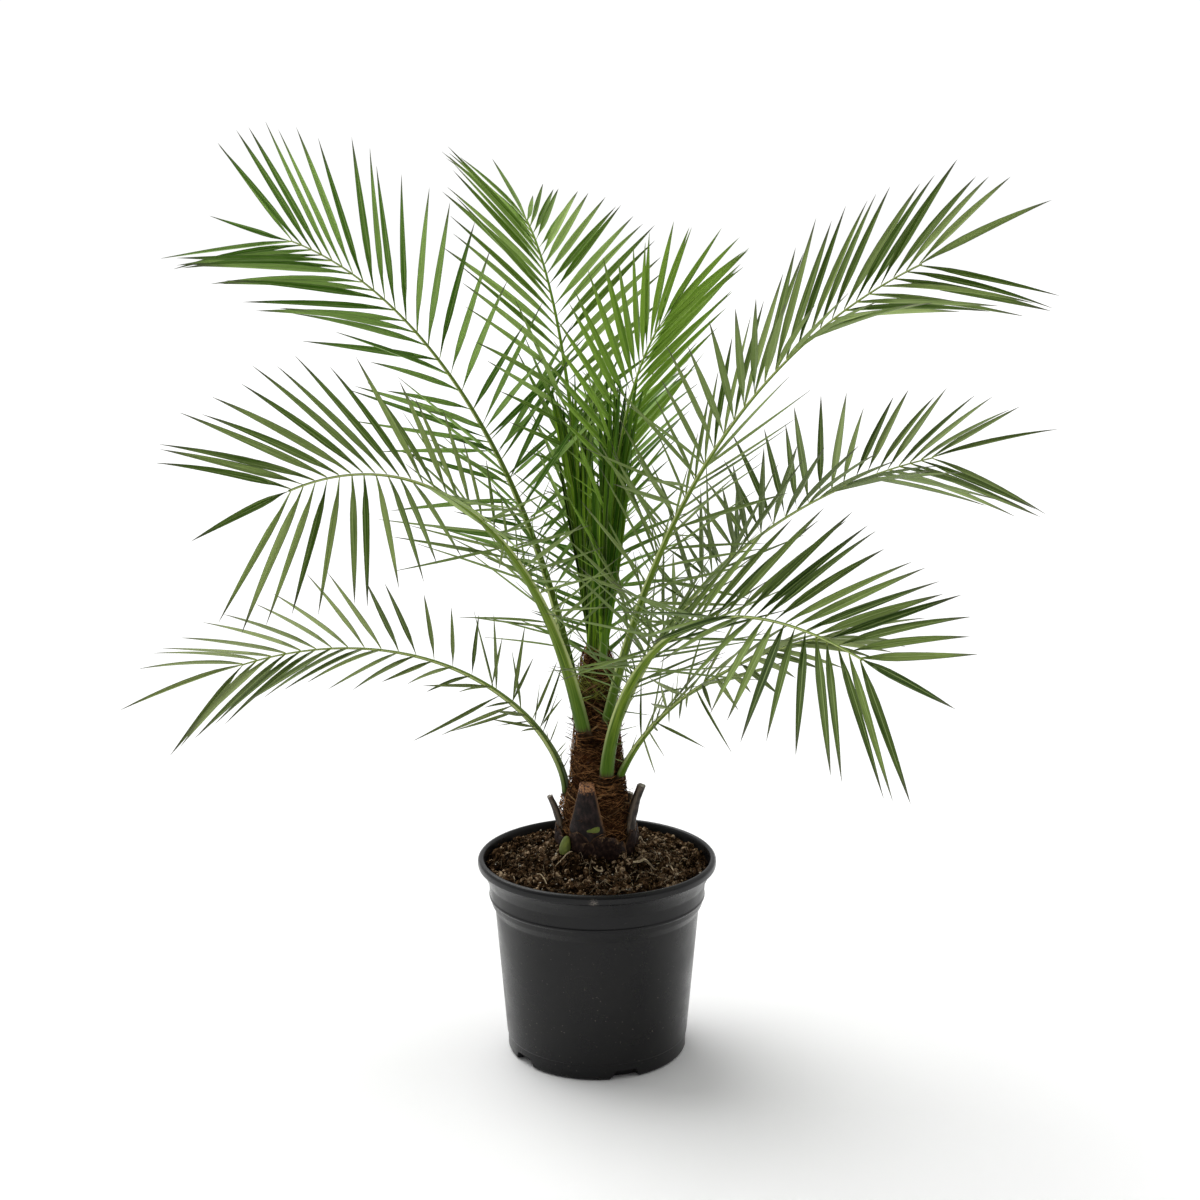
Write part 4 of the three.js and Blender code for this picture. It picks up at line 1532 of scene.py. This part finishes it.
@dataclass(frozen=True)
class Pot:
    """The nursery pot: an outline of (height, radius) pairs and the drain notches in its foot."""

    outline: tuple[tuple[float, float], ...] = (
        (0, 0), (0, 60), (11, 62), (11, 79), (0, 80), (0, 88.7), (2.5, 91.2), (16.5, 91.4),
        (17, 92.3), (149, 103.4), (156, 107), (161.5, 108.3), (162.6, 109.4), (164, 109.5),
        (165.2, 108.8), (177, 109.5), (186, 113.6), (192.6, 117.2), (194, 119.9), (195.5, 120.4),
        (200, 120.5), (202.2, 118.9), (203, 117), (202.4, 115), (200, 114), (185, 110.7),
        (177, 107.2), (161, 106.4), (149, 101.4), (13.5, 90), (13.5, 58), (2.5, 56), (2.5, 0),
    )
    foot_radius: float = 91.2
    rounding: float = 0.7
    columns: int = 300
    notches: int = 5
    first_notch: float = -71.5
    notch_height: float = 9.5
    notch_top: float = 10.5
    notch_bottom: float = 16
    # Radius of the sloping wall that closes each notch, a dark sheet standing in for the shade under the
    # pot.
    shade_wall_radius: float = 83
    crease: float = 28

    def smoothed(self) -> Array:
        """The outline with each corner cut twice, by no more than the rounding.

        Returns:
            Pairs of height and radius.
        """
        line = np.array(self.outline, float)
        for turn in range(2):
            step = np.diff(line, axis=0)
            length = np.linalg.norm(step, axis=1, keepdims=True)
            cut = np.minimum(0.25 * length, self.rounding / 2**turn) / length
            pairs = np.stack([line[:-1] + step * cut, line[1:] - step * cut], axis=1).reshape(-1, 2)
            line = np.concatenate([line[:1], pairs[1:-1], line[-1:]])
        return line

    def build(self, finish: Finish) -> None:
        """Turns the outline, with a column at every notch corner, and lifts the foot there.

        The lift grows from nothing at a notch's bottom corner to its full height at the top
        one. Only the foot outside the notch's back is lifted, so that a sloping black wall closes
        each notch: painted shade, a dark sheet where the real notch opens into the shaded hollow
        under the pot.

        Args:
            finish: What makes its material.
        """
        line = self.smoothed()
        centres = self.first_notch + 360 / self.notches * np.arange(self.notches)
        corners = np.degrees(np.array([self.notch_top, self.notch_bottom]) / self.foot_radius)
        corners = (centres[:, None] + np.concatenate([corners, -corners])).ravel() % 360
        heading = np.concatenate([np.linspace(0, 360, self.columns, endpoint=False), corners])
        heading = np.unique(np.round(heading, 3))
        turn = np.abs((heading[:, None] - centres + 180) % 360 - 180).min(1)
        near = turn * np.pi / 180 * self.foot_radius
        rise = (self.notch_bottom - near) / (self.notch_bottom - self.notch_top)
        lift = self.notch_height * np.clip(rise, 0, 1)
        height, radius = line[:, :1], line[:, 1:]
        # Only the outer foot is lifted, so a sloping black wall closes the back of each notch: painted
        # shade, a dark sheet standing in for the shade of the hollow under the pot.
        ring = (radius > self.shade_wall_radius) & (height < self.notch_height)
        height = np.where(ring, np.maximum(height, lift[None]), height)
        rings = polar(radius, heading[None], height)
        skin = Skin()
        skin.bars(rings[None], np.linspace(0, 1, len(line)), np.linspace(0, 1, len(heading)))
        skin.build("nursery_pot", finish, "pot", ["pot"], self.crease)


@dataclass(frozen=True)
class Mound:
    """A heap or a hollow in the surface: height x exp(-(distance / reach)^2)."""

    middle: tuple[float, float]
    height: float
    reach: float

    def at(self, flat: Array) -> Array:
        """How high, or how deep, it is at places seen from above."""
        return self.height * np.exp(-(((flat - [*self.middle, 0]) ** 2).sum(-1)) / self.reach**2)


@dataclass(frozen=True)
class RootEnd:
    """One of the larger root ends: the places that it passes, seen from above."""

    places: tuple[tuple[float, float], ...]
    half: float
    tone: float
    hover: float


@dataclass(frozen=True)
class Bud:
    """A green swelling: where it stands, the heights of its ends and half its two breadths."""

    heading: float
    radius: float
    low: float
    high: float
    half: float
    thick: float


@dataclass(frozen=True)
class Compost:
    """Peaty compost with crumbs, perlite, root ends and two green buds.

    Pairs of values are the least and the most that are drawn.
    """

    radii: tuple[float, ...] = (0, 38, 44, 58, 68, 98, 112)
    levels: tuple[float, ...] = (216, 216, 213, 202, 197, 194.5, 194)
    hollows: tuple[Mound, ...] = (Mound((72, 36), 8, 20), Mound((12, -47), 9, 10))
    heap: Mound = Mound((-70, -20), 3.5, 30)
    edge: float = 112
    within: float = 110
    underside: tuple[tuple[float, float], ...] = ((110, 186), (107, 180), (0, 180))
    crumbs: int = 8600
    crumb_sizes: Span = (0.7, 4.8)
    crumbs_from: float = 40
    stones: int = 90
    stone_sizes: Span = (0.9, 2.1)
    stones_from: float = 48
    stone_lift: float = 2.2
    small_ones: float = 2.8
    rootlets: int = 330
    rootlet_ring: Span = (42, 100)
    rootlet_length: Span = (5, 20)
    rootlet_curl: Span = (-45, 45)
    rootlet_half: Span = (0.12, 0.42)
    root_ends: tuple[RootEnd, ...] = (
        RootEnd(((31, -37), (39, -33), (48, -32), (60, -34)), 2.0, 1.0, 3.0),
        RootEnd(((39, -8), (44, 4), (48, 14), (55, 22)), 0.9, 0.9, 9.0),
        RootEnd(((18, -45), (19, -49), (20, -54), (22, -59)), 0.7, 1.0, 2.0),
        RootEnd(((66, -28), (74, -38), (79, -52), (80, -56)), 1.2, 0.6, 2.0),
        RootEnd(((-43, -44), (-36, -42), (-30, -38), (-24, -38)), 0.8, 0.8, 3.0),
        RootEnd(((-4, -50), (1, -54), (6, -53), (4, -48)), 1.0, 1.0, 5.0),
        RootEnd(((-60, -52), (-54, -56), (-50, -62), (-49, -66)), 0.7, 0.9, 3.0),
        RootEnd(((88, 14), (80, 20), (74, 28), (70, 40)), 0.8, 0.6, 5.0),
    )
    bud_pair: tuple[Bud, ...] = (Bud(223, 45, 213, 232, 7.0, 6.0), Bud(263, 38.2, 238, 248, 8.5, 2.3))

    def level(self, points: Array) -> Array:
        """The height of the surface: its level at a radius, swells, clods, hollows and a heap.

        Args:
            points: Places seen from above, (..., 3), whose heights don't count.

        Returns:
            One height for each.
        """
        radius = np.linalg.norm(points[..., :2], axis=-1)
        flat = points * [1, 1, 0]
        calm = 1 - ease((radius - 100) / 12)
        swell = 2.4 * relief(flat, 38, Seed.COMPOST_SWELL, 2)
        swell += 4.6 * relief(flat, 12, Seed.COMPOST_CLODS, 3) * mix(0.4, 1, calm)
        hollow = sum(mound.at(flat) for mound in self.hollows)
        level = np.interp(radius, self.radii, self.levels) + swell * mix(0.35, 1, calm)
        return level - hollow + self.heap.at(flat)

    def on_surface(self, places: Array) -> Array:
        """Places seen from above, set at the height of the surface.

        Args:
            places: Points (..., 3).

        Returns:
            A copy of them at the surface.
        """
        raised = np.array(places, float)
        raised[..., 2] = self.level(raised)
        return raised

    def bed(self, finish: Finish) -> None:
        """The surface as rings from the middle out, closed by a flat underside.

        Args:
            finish: What makes its material.
        """
        rows, columns = 150, 360
        under = np.array(self.underside, float)
        radius = np.concatenate([np.linspace(0, self.edge, rows), under[:, 0]])[:, None]
        heading = np.linspace(0, 360, columns, endpoint=False)[None]
        points = polar(radius, heading, 0.0)
        points[..., 2] = self.level(points)
        points[rows:, :, 2] = under[:, 1:]
        along = np.linspace(0, 1, rows + len(under))
        skin = Skin()
        skin.bars(points[None], along, np.linspace(0, 1, columns), tone=np.array([-0.2]))
        skin.build("compost_bed", finish, "compost", ["soil"])

    def lumps(
        self, count: int, sizes: Span, seed: Seed, near: float, raised: float = 0
    ) -> tuple[Array, Array]:
        """Uneven twenty-sided lumps scattered over the surface.

        Each is an icosahedron with its corners pushed in or out, squashed and turned. Sizes
        go as a power of chance, which makes most of them small.

        Args:
            count: How many.
            sizes: The smallest and the largest.
            seed: Which pattern.
            near: How close to the middle they come.
            raised: How far they are lifted besides.

        Returns:
            Their rings, and a random tone for each.
        """
        draw = np.random.default_rng(seed)
        radius = np.sqrt(draw.uniform(near**2, self.within**2, count))
        middle = self.on_surface(polar(radius, draw.uniform(0, 360, count), 0.0))
        size = sizes[0] * (sizes[1] / sizes[0]) ** (draw.random(count) ** self.small_ones)
        middle[:, 2] += size * draw.uniform(-0.1, 0.55, count) + raised
        axes = draw.normal(size=(count, 3, 3))
        first = unit(axes[:, 0])
        second = unit(np.cross(first, axes[:, 1]))
        third = np.cross(first, second)
        height = np.array([-1, -0.45, 0.45, 1])[:, None]
        across = np.array([0, 0.9, 0.9, 0])[:, None]
        turn = np.radians(np.arange(5) * 72)[None] + np.radians([0, 0, 36, 0])[:, None]
        level = np.broadcast_to(height, turn.shape)
        ring = np.stack([across * np.cos(turn), across * np.sin(turn), level], -1)[None]
        ring = ring * draw.uniform(0.65, 1.25, (count, 4, 5, 1))
        ring = ring * draw.uniform(0.55, 1.15, (count, 1, 1, 3))
        ring = np.einsum("krcj,kji->krci", ring, np.stack([second, third, first], 1))
        patch = relief(middle * [1, 1, 0], 24, Seed.CRUMB_TONE, 2)
        tone = 0.75 * draw.uniform(-1, 1, count) + 0.45 * patch
        return middle[:, None, None] + ring * size[:, None, None, None], tone

    def scatter(self, crumb: Finish, stone: Finish) -> None:
        """Crumbs of peat and white specks of perlite.

        Args:
            crumb: What makes the peat's material.
            stone: What makes the perlite's.
        """
        rings, tone = self.lumps(self.crumbs, self.crumb_sizes, Seed.CRUMBS, self.crumbs_from)
        skin = Skin()
        skin.bars(rings, np.linspace(0, 1, 4), tone=tone)
        skin.build("compost_crumbs", crumb, "compost", crease=30)
        rings, tone = self.lumps(
            self.stones, self.stone_sizes, Seed.PERLITE, self.stones_from, self.stone_lift
        )
        skin = Skin()
        skin.bars(rings, np.linspace(0, 1, 4), tone=tone)
        skin.build("perlite", stone, "compost", crease=70)

    def roots(self, trunk: Trunk, finish: Finish) -> None:
        """Loose root ends and fibres on the surface, with the larger ones that catch the eye.

        Args:
            trunk: Whose strands they are shaped like.
            finish: What makes their material.
        """
        draw = np.random.default_rng(Seed.ROOTS)
        count, steps = self.rootlets, np.linspace(0, 1, 8)[None]
        nearest, farthest = self.rootlet_ring
        radius = np.sqrt(draw.uniform(nearest**2, farthest**2, count))
        start = polar(radius, draw.uniform(0, 360, count), 0.0)
        facing = column(draw.uniform(0, 360, count))
        length = column(draw.uniform(*self.rootlet_length, count))
        curl = column(draw.uniform(*self.rootlet_curl, count))
        heading = np.radians(facing + curl * steps)
        step = np.stack([np.cos(heading), np.sin(heading), 0 * heading], -1) * (length / 7)[..., None]
        paths = start[:, None] + np.cumsum(step, axis=1)
        paths *= np.minimum(1, self.within / np.linalg.norm(paths[..., :2], axis=-1, keepdims=True))
        hover = 1.4 + column(draw.uniform(0, 5, count)) * np.sin(np.pi * steps)
        hover = hover + draw.uniform(0, 1, (count, 1))
        paths[..., 2] = self.level(paths) + hover
        half = draw.uniform(*self.rootlet_half, count)
        skin = Skin()
        skin.bars(trunk.strand_rings(paths, half), steps[0], tone=draw.uniform(-1.2, 0.6, count))
        at = np.linspace(0, 3, 14)
        for root in self.root_ends:
            line = np.array(root.places, float)
            path = np.stack([*(np.interp(at, range(4), line[:, i]) for i in range(2)), 0 * at], -1)
            path[1:-1] = (path[:-2] + 2 * path[1:-1] + path[2:]) / 4
            arch = root.hover * np.sin(at / 3 * np.pi) * 0.6
            path[:, 2] = self.level(path) + 2.2 + 0.6 * root.half + arch
            rings = trunk.strand_rings(path[None], np.array([root.half]), 0.7)
            skin.bars(rings, at / 3, tone=np.array([root.tone]))
        skin.build("root_ends", finish, "compost")

    def buds(self, finish: Finish) -> None:
        """Two yellow-green swellings among the scales at the foot of the trunk.

        Each is an oval that is fullest below its middle and leans in as it rises.

        Args:
            finish: What makes their material.
        """
        skin = Skin()
        share = np.linspace(0, 1, 14)[:, None]
        angle = np.linspace(0, 2 * np.pi, 16, endpoint=False)[None]
        size = np.sqrt(np.clip(1 - (2 * share - 0.9) ** 2 / 1.25, 0, 1)) * (1 - 0.3 * share)
        for bud in self.bud_pair:
            middle = polar(bud.radius - 4 * share, bud.heading, mix(bud.low, bud.high, share))
            aside = column(size * bud.half * np.cos(angle)) * polar(1.0, bud.heading + 90, 0.0)
            rings = middle + aside
            rings = rings + column(size * bud.thick * np.sin(angle)) * polar(1.0, bud.heading, 0.0)
            skin.bars(rings[None], share[:, 0], angle[0] / (2 * np.pi), tone=np.array([0.2]))
        skin.build("buds", finish, "compost")


# The studio


@dataclass(frozen=True)
class Studio:
    """A white floor in a white surround, a broad soft light from the upper left and the camera."""

    camera: Place = (0.003, -1.736, 0.816)
    pitch: float = 11.42
    lens: float = 54
    sensor: float = 36
    floor_half: float = 40
    overhead: float = 0.83
    level: float = 0.56
    front: float = 0.3
    behind_lens: float = 0.25
    seen: float = 1.05
    sun_from: Place = (-0.58, 0.62, 1.35)
    sun_spread: float = 50
    sun_power: float = 2.1

    def build(self) -> None:
        """Floor, surround, light and camera."""
        self.lay_floor()
        self.surround()
        sun = bpy.data.lights.new("soft sun", "SUN")
        sun.energy, sun.angle = self.sun_power, np.radians(self.sun_spread)
        lamp = bpy.data.objects.new("soft sun", sun)
        lamp.rotation_mode = "QUATERNION"
        lamp.rotation_quaternion = (-Vector(self.sun_from)).to_track_quat("-Z", "Y")
        bpy.context.scene.collection.objects.link(lamp)

        lens = bpy.data.cameras.new("camera")
        lens.lens, lens.sensor_width = self.lens, self.sensor
        camera = bpy.data.objects.new("camera", lens)
        camera.location = self.camera
        camera.rotation_euler = (np.radians(90 - self.pitch), 0, 0)
        bpy.context.scene.collection.objects.link(camera)
        bpy.context.scene.camera = camera
        bpy.context.scene.view_settings.view_transform = "Standard"

    def lay_floor(self) -> None:
        """A white paper floor."""
        half = self.floor_half
        mesh = bpy.data.meshes.new("floor")
        corners = [(-half, -half, 0), (half, -half, 0), (half, half, 0), (-half, half, 0)]
        mesh.from_pydata(corners, [], [(0, 1, 2, 3)])
        floor = bpy.data.objects.new("floor", mesh)
        bpy.context.scene.collection.objects.link(floor)
        material = bpy.data.materials.new("white paper")
        material.use_nodes = True
        shader = material.node_tree.nodes["Principled BSDF"]
        shader.inputs["Base Color"].default_value = (1, 1, 1, 1)
        shader.inputs["Roughness"].default_value = 1.0
        shader.inputs["Specular IOR Level"].default_value = 0.0
        mesh.materials.append(material)

    def surround(self) -> None:
        """Light from all round, more from overhead and less from behind the lens.

        The lens itself sees plain white past the floor.
        """
        world = bpy.context.scene.world or bpy.data.worlds.new("surround")
        bpy.context.scene.world = world
        world.use_nodes = True
        paint = Painter(world.node_tree)
        background = world.node_tree.nodes["Background"]
        background.inputs["Color"].default_value = (1, 1, 1, 1)
        facing = paint.node("SeparateXYZ", {0: paint.node("TexCoord").outputs["Generated"]})
        lit = paint.span(facing.outputs[2], 0.0, 0.9, self.level, self.overhead)
        lit = paint.maths("MULTIPLY", lit, paint.span(facing.outputs[1], -0.9, 0.1, self.front, 1.0))
        rearward = paint.span(facing.outputs[1], -0.75, -0.97)
        behind = paint.maths("MULTIPLY", rearward, paint.span(facing.outputs[2], 0.3, 0.12))
        lit = paint.maths("MULTIPLY", lit, paint.span(behind, 0.0, 1.0, 1.0, self.behind_lens))
        seen = paint.maths("MULTIPLY", paint.node("LightPath").outputs["Is Camera Ray"], self.seen)
        paint.feed(background.inputs["Strength"], paint.maths("MAXIMUM", lit, seen))


# The palm


def greens(name: str, dark: Colour, light: Colour, under: Colour, **more: Colour) -> LeafFinish:
    """Leaf finish of one spray, whose colours hold painted light and shade as well as the leaf's own green;
    more names its edge, rib or tip where they differ.
    """
    return LeafFinish("leaf green " + name, 0.45, 0.07, dark=dark, light=light, under=under, **more)


OLD_STEM = StalkFinish("green stalk", 0.45, 0.12)
YOUNG_STEM = StalkFinish("young stalk", 0.45, 0.12, dark=(0.06, 0.15, 0.004), light=(0.22, 0.38, 0.03))

# Each frond has its own set of colours: partly the leaves' own green, partly painted light and shade, for
# the light and shade that falls on that frond.
DEEP = greens("deep", (0.046, 0.135, 0.004), (0.47, 0.7, 0.19), (0.27, 0.43, 0.11))
DUSKY = greens("dusky", (0.05, 0.108, 0.006), (0.45, 0.57, 0.19), (0.19, 0.26, 0.08))
DULL = greens("dull", (0.046, 0.08, 0.008), (0.4, 0.48, 0.18), (0.26, 0.32, 0.13))
OLIVE = greens("olive", (0.018, 0.046, 0.001), (0.31, 0.42, 0.11), (0.15, 0.21, 0.07))
GREYISH = greens("greyish", (0.035, 0.07, 0.004), (0.32, 0.41, 0.14), (0.16, 0.21, 0.08))
PALE = greens("pale", (0.1, 0.2, 0.012), (0.58, 0.8, 0.24), (0.34, 0.5, 0.13), edge=(0.3, 0.42, 0.14))
# The fresh leaves' yellow edge colour is a painted highlight along each leaflet's edges.
FRESH = greens(
    "fresh", (0.034, 0.12, 0.001), (0.3, 0.52, 0.05), (0.2, 0.34, 0.04),
    edge=(0.5, 0.66, 0.2), tip=(0.14, 0.2, 0.05),
)
# The shut leaves' near-black dark is painted shade: whole leaflets dealt it by their tone stand in for the
# deep shade inside the bundle.
SHUT = greens(
    "shut", (0.002, 0.018, 0.0001), (0.38, 0.64, 0.045), (0.04, 0.125, 0.003),
    edge=(0.3, 0.45, 0.06), tip=(0.04, 0.1, 0.01),
)

FIBRE_MAT = MottledFinish(
    "trunk fibre mat", 0.9, 0.03,
    dark=(0.008, 0.0025, 0.0008), middle=(0.058, 0.019, 0.006), light=(0.17, 0.08, 0.035), size=220.0,
)
DEAD_FIBRE = StrandFinish("dead fibre", 0.8, 0.04)
TAN_EDGE = StrandFinish("tan sheath edge", 0.75, 0.08, dark=(0.045, 0.018, 0.006), light=(0.3, 0.18, 0.08))
YOUNG_FIBRE = StrandFinish("young fibre", 0.7, 0.08, dark=(0.05, 0.045, 0.008), light=(0.34, 0.36, 0.07))
OLD_SCALE = CutFinish("old scale", 0.6, 0.12, edge=(0.16, 0.085, 0.035), cut=(0.2, 0.12, 0.06))
THORN = StrandFinish("dark thorn", 0.6, dark=(0.01, 0.008, 0.004), light=(0.08, 0.06, 0.03))
PURPLE_BASE = CutFinish(
    "purple leaf base", 0.42, 0.16,
    dark=(0.006, 0.0025, 0.002), light=(0.05, 0.028, 0.024), cut=(0.42, 0.2, 0.085), raw_from=0.68,
)
WEATHERED_BASE = CutFinish(
    "weathered leaf base",
    dark=(0.012, 0.008, 0.005), light=(0.13, 0.1, 0.075), edge=(0.16, 0.12, 0.085), cut=(0.36, 0.33, 0.27),
)
BLACK_PLASTIC = PotFinish("black nursery plastic", 0.3, 0.26)
PEAT = MottledFinish(
    "peat", 0.95, 0.03,
    dark=(0.003, 0.001, 0.0003), middle=(0.012, 0.006, 0.002), light=(0.06, 0.038, 0.02), size=220.0,
)
PEAT_CRUMB = MottledFinish(
    "peat crumb", 0.95, 0.03,
    dark=(0.007, 0.003, 0.001), middle=(0.082, 0.045, 0.021), light=(0.5, 0.37, 0.24), shift=-0.01,
)
PERLITE = MottledFinish(
    "perlite", 0.9,
    dark=(0.3, 0.25, 0.18), middle=(0.55, 0.5, 0.42), light=(0.8, 0.78, 0.72), size=500.0,
)
ROOT = StrandFinish("root ends", 0.8, 0.08, dark=(0.02, 0.012, 0.006), light=(0.6, 0.48, 0.32))
BUD = MottledFinish(
    "bud", 0.6,
    dark=(0.075, 0.085, 0.012), middle=(0.12, 0.15, 0.02), light=(0.19, 0.23, 0.035), size=110.0, depth=0.3,
)

FRONDS = (
    Frond(
        "upper_left", 1, heading=142, swing=0, rise=75, droop=61, bow=1.3, length=635, foot=359,
        roll=(-5, -75), lift=(50, 44), spread=(84, 42), sag=0, twist=-20, leaflet=162, full=0.45,
        bare=0.3, pairs=22, stalk=5.8, folded=0, greens=DEEP, stems=OLD_STEM,
    ),
    Frond(
        "mid_left", 2, heading=240, swing=0, rise=69, droop=78, bow=1.2, length=565, foot=341,
        roll=(9, -73), lift=(56, -25), spread=(55, 28), sag=36, twist=15, leaflet=134, full=0.6,
        bare=0.36, pairs=20, stalk=8.2, folded=0, greens=DUSKY, stems=OLD_STEM,
    ),
    Frond(
        "lower_left", 3, heading=155, swing=45, rise=95, droop=109, bow=0.5, length=395, foot=264,
        roll=(-24, -17), lift=(23, -11), spread=(75, 41), sag=0, twist=-5, leaflet=150, full=0.9,
        bare=0.18, pairs=18, stalk=5.8, folded=0, greens=DULL, stems=OLD_STEM,
    ),
    Frond(
        "top_left", 4, heading=106, swing=5, rise=76, droop=44, bow=2.55, length=500, foot=397,
        roll=(-53, 24), lift=(43, -9), spread=(72, 25), sag=0, twist=-10, leaflet=148, full=0.45,
        bare=0.32, pairs=23, stalk=4, folded=9, greens=PALE, stems=YOUNG_STEM,
    ),
    Frond(
        "top_right", 5, heading=290, swing=30, rise=84, droop=30, bow=2.8, length=345, foot=406,
        roll=(13, -32), lift=(35, -23), spread=(58, 12), sag=0, twist=0, leaflet=131, full=0.45,
        bare=0.44, pairs=18, stalk=4, folded=9, greens=FRESH, stems=YOUNG_STEM,
    ),
    Frond(
        "upper_right", 6, heading=-66, swing=55, rise=65, droop=39, bow=2.3, length=565, foot=350,
        roll=(-70, 61), lift=(65, -25), spread=(55, 37), sag=0, twist=20, leaflet=141, full=0.45,
        bare=0.36, pairs=24, stalk=5.8, folded=0, greens=DUSKY, stems=OLD_STEM,
    ),
    Frond(
        "mid_right", 7, heading=50, swing=-60, rise=56, droop=42, bow=1.1, length=460, foot=327,
        roll=(-70, 37), lift=(65, -22), spread=(90, 39), sag=0, twist=15, leaflet=155, full=0.45,
        bare=0.34, pairs=21, stalk=5.5, folded=0, greens=GREYISH, stems=OLD_STEM,
    ),
    Frond(
        "lower_right", 8, heading=-72, swing=5, rise=86, droop=92, bow=0.5, length=595, foot=295,
        roll=(-40, 70), lift=(55, -12), spread=(57, 24), sag=-22, twist=25, leaflet=137, full=0.45,
        bare=0.24, pairs=23, stalk=7.4, folded=0, greens=OLIVE, stems=OLD_STEM,
    ),
    Frond(
        "low_right", 9, heading=-38, swing=30, rise=65, droop=51, bow=0.85, length=265, foot=292,
        roll=(40, -15), lift=(0, -19), spread=(76, 41), sag=0, twist=-15, leaflet=117, full=0.45,
        bare=0.36, pairs=13, stalk=5.4, folded=0, greens=DULL, stems=OLD_STEM,
    ),
    Frond(
        "back", 10, heading=88, swing=-8, rise=80, droop=66, bow=1.1, length=430, foot=318,
        roll=(10, -10), lift=(45, 15), spread=(72, 30), sag=0, twist=-10, leaflet=125, full=0.45,
        bare=0.3, pairs=19, stalk=5, folded=0, greens=DEEP, stems=OLD_STEM,
    ),
)

BASES = (
    LeafBase("left", heading=188, foot=224, top=266, reach=19, width=16, tip=9, depth=6),
    LeafBase("front", heading=251, foot=240, top=286, reach=5, width=40, tip=15, depth=8, skirt=1.3),
    LeafBase("right", heading=338, foot=224, top=281, reach=22, width=16, tip=10, depth=8),
    LeafBase("back_right", heading=30, foot=226, top=262, reach=8, width=24, tip=13, depth=6),
    LeafBase("back", heading=72, foot=224, top=260, reach=13, width=18, tip=10, depth=6),
    LeafBase("back_left", heading=114, foot=226, top=264, reach=7, width=24, tip=13, depth=6),
)


def corners(box: tuple) -> list[list[float]]:
    """The two corners of a box as plain lists."""
    return [list(corner) for corner in box]


def main() -> None:
    """Builds the studio, the plant and the pot."""
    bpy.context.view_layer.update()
    Studio().build()
    trunk = Trunk()
    trunk.core(FIBRE_MAT)
    trunk.fibre(DEAD_FIBRE, FRONDS)
    trunk.sheath_edges(TAN_EDGE)
    trunk.young_fibre(YOUNG_FIBRE)
    trunk.scales(OLD_SCALE)
    trunk.thorning(THORN)
    for base in BASES:
        base.build(trunk, PURPLE_BASE if base.name == "front" else WEATHERED_BASE)
    for frond in FRONDS:
        frond.build(trunk)
    Spear().build(SHUT)
    Pot().build(BLACK_PLASTIC)
    compost = Compost()
    compost.bed(PEAT)
    compost.scatter(PEAT_CRUMB, PERLITE)
    compost.roots(trunk, ROOT)
    compost.buds(BUD)


if __name__ == "__main__":
    main()
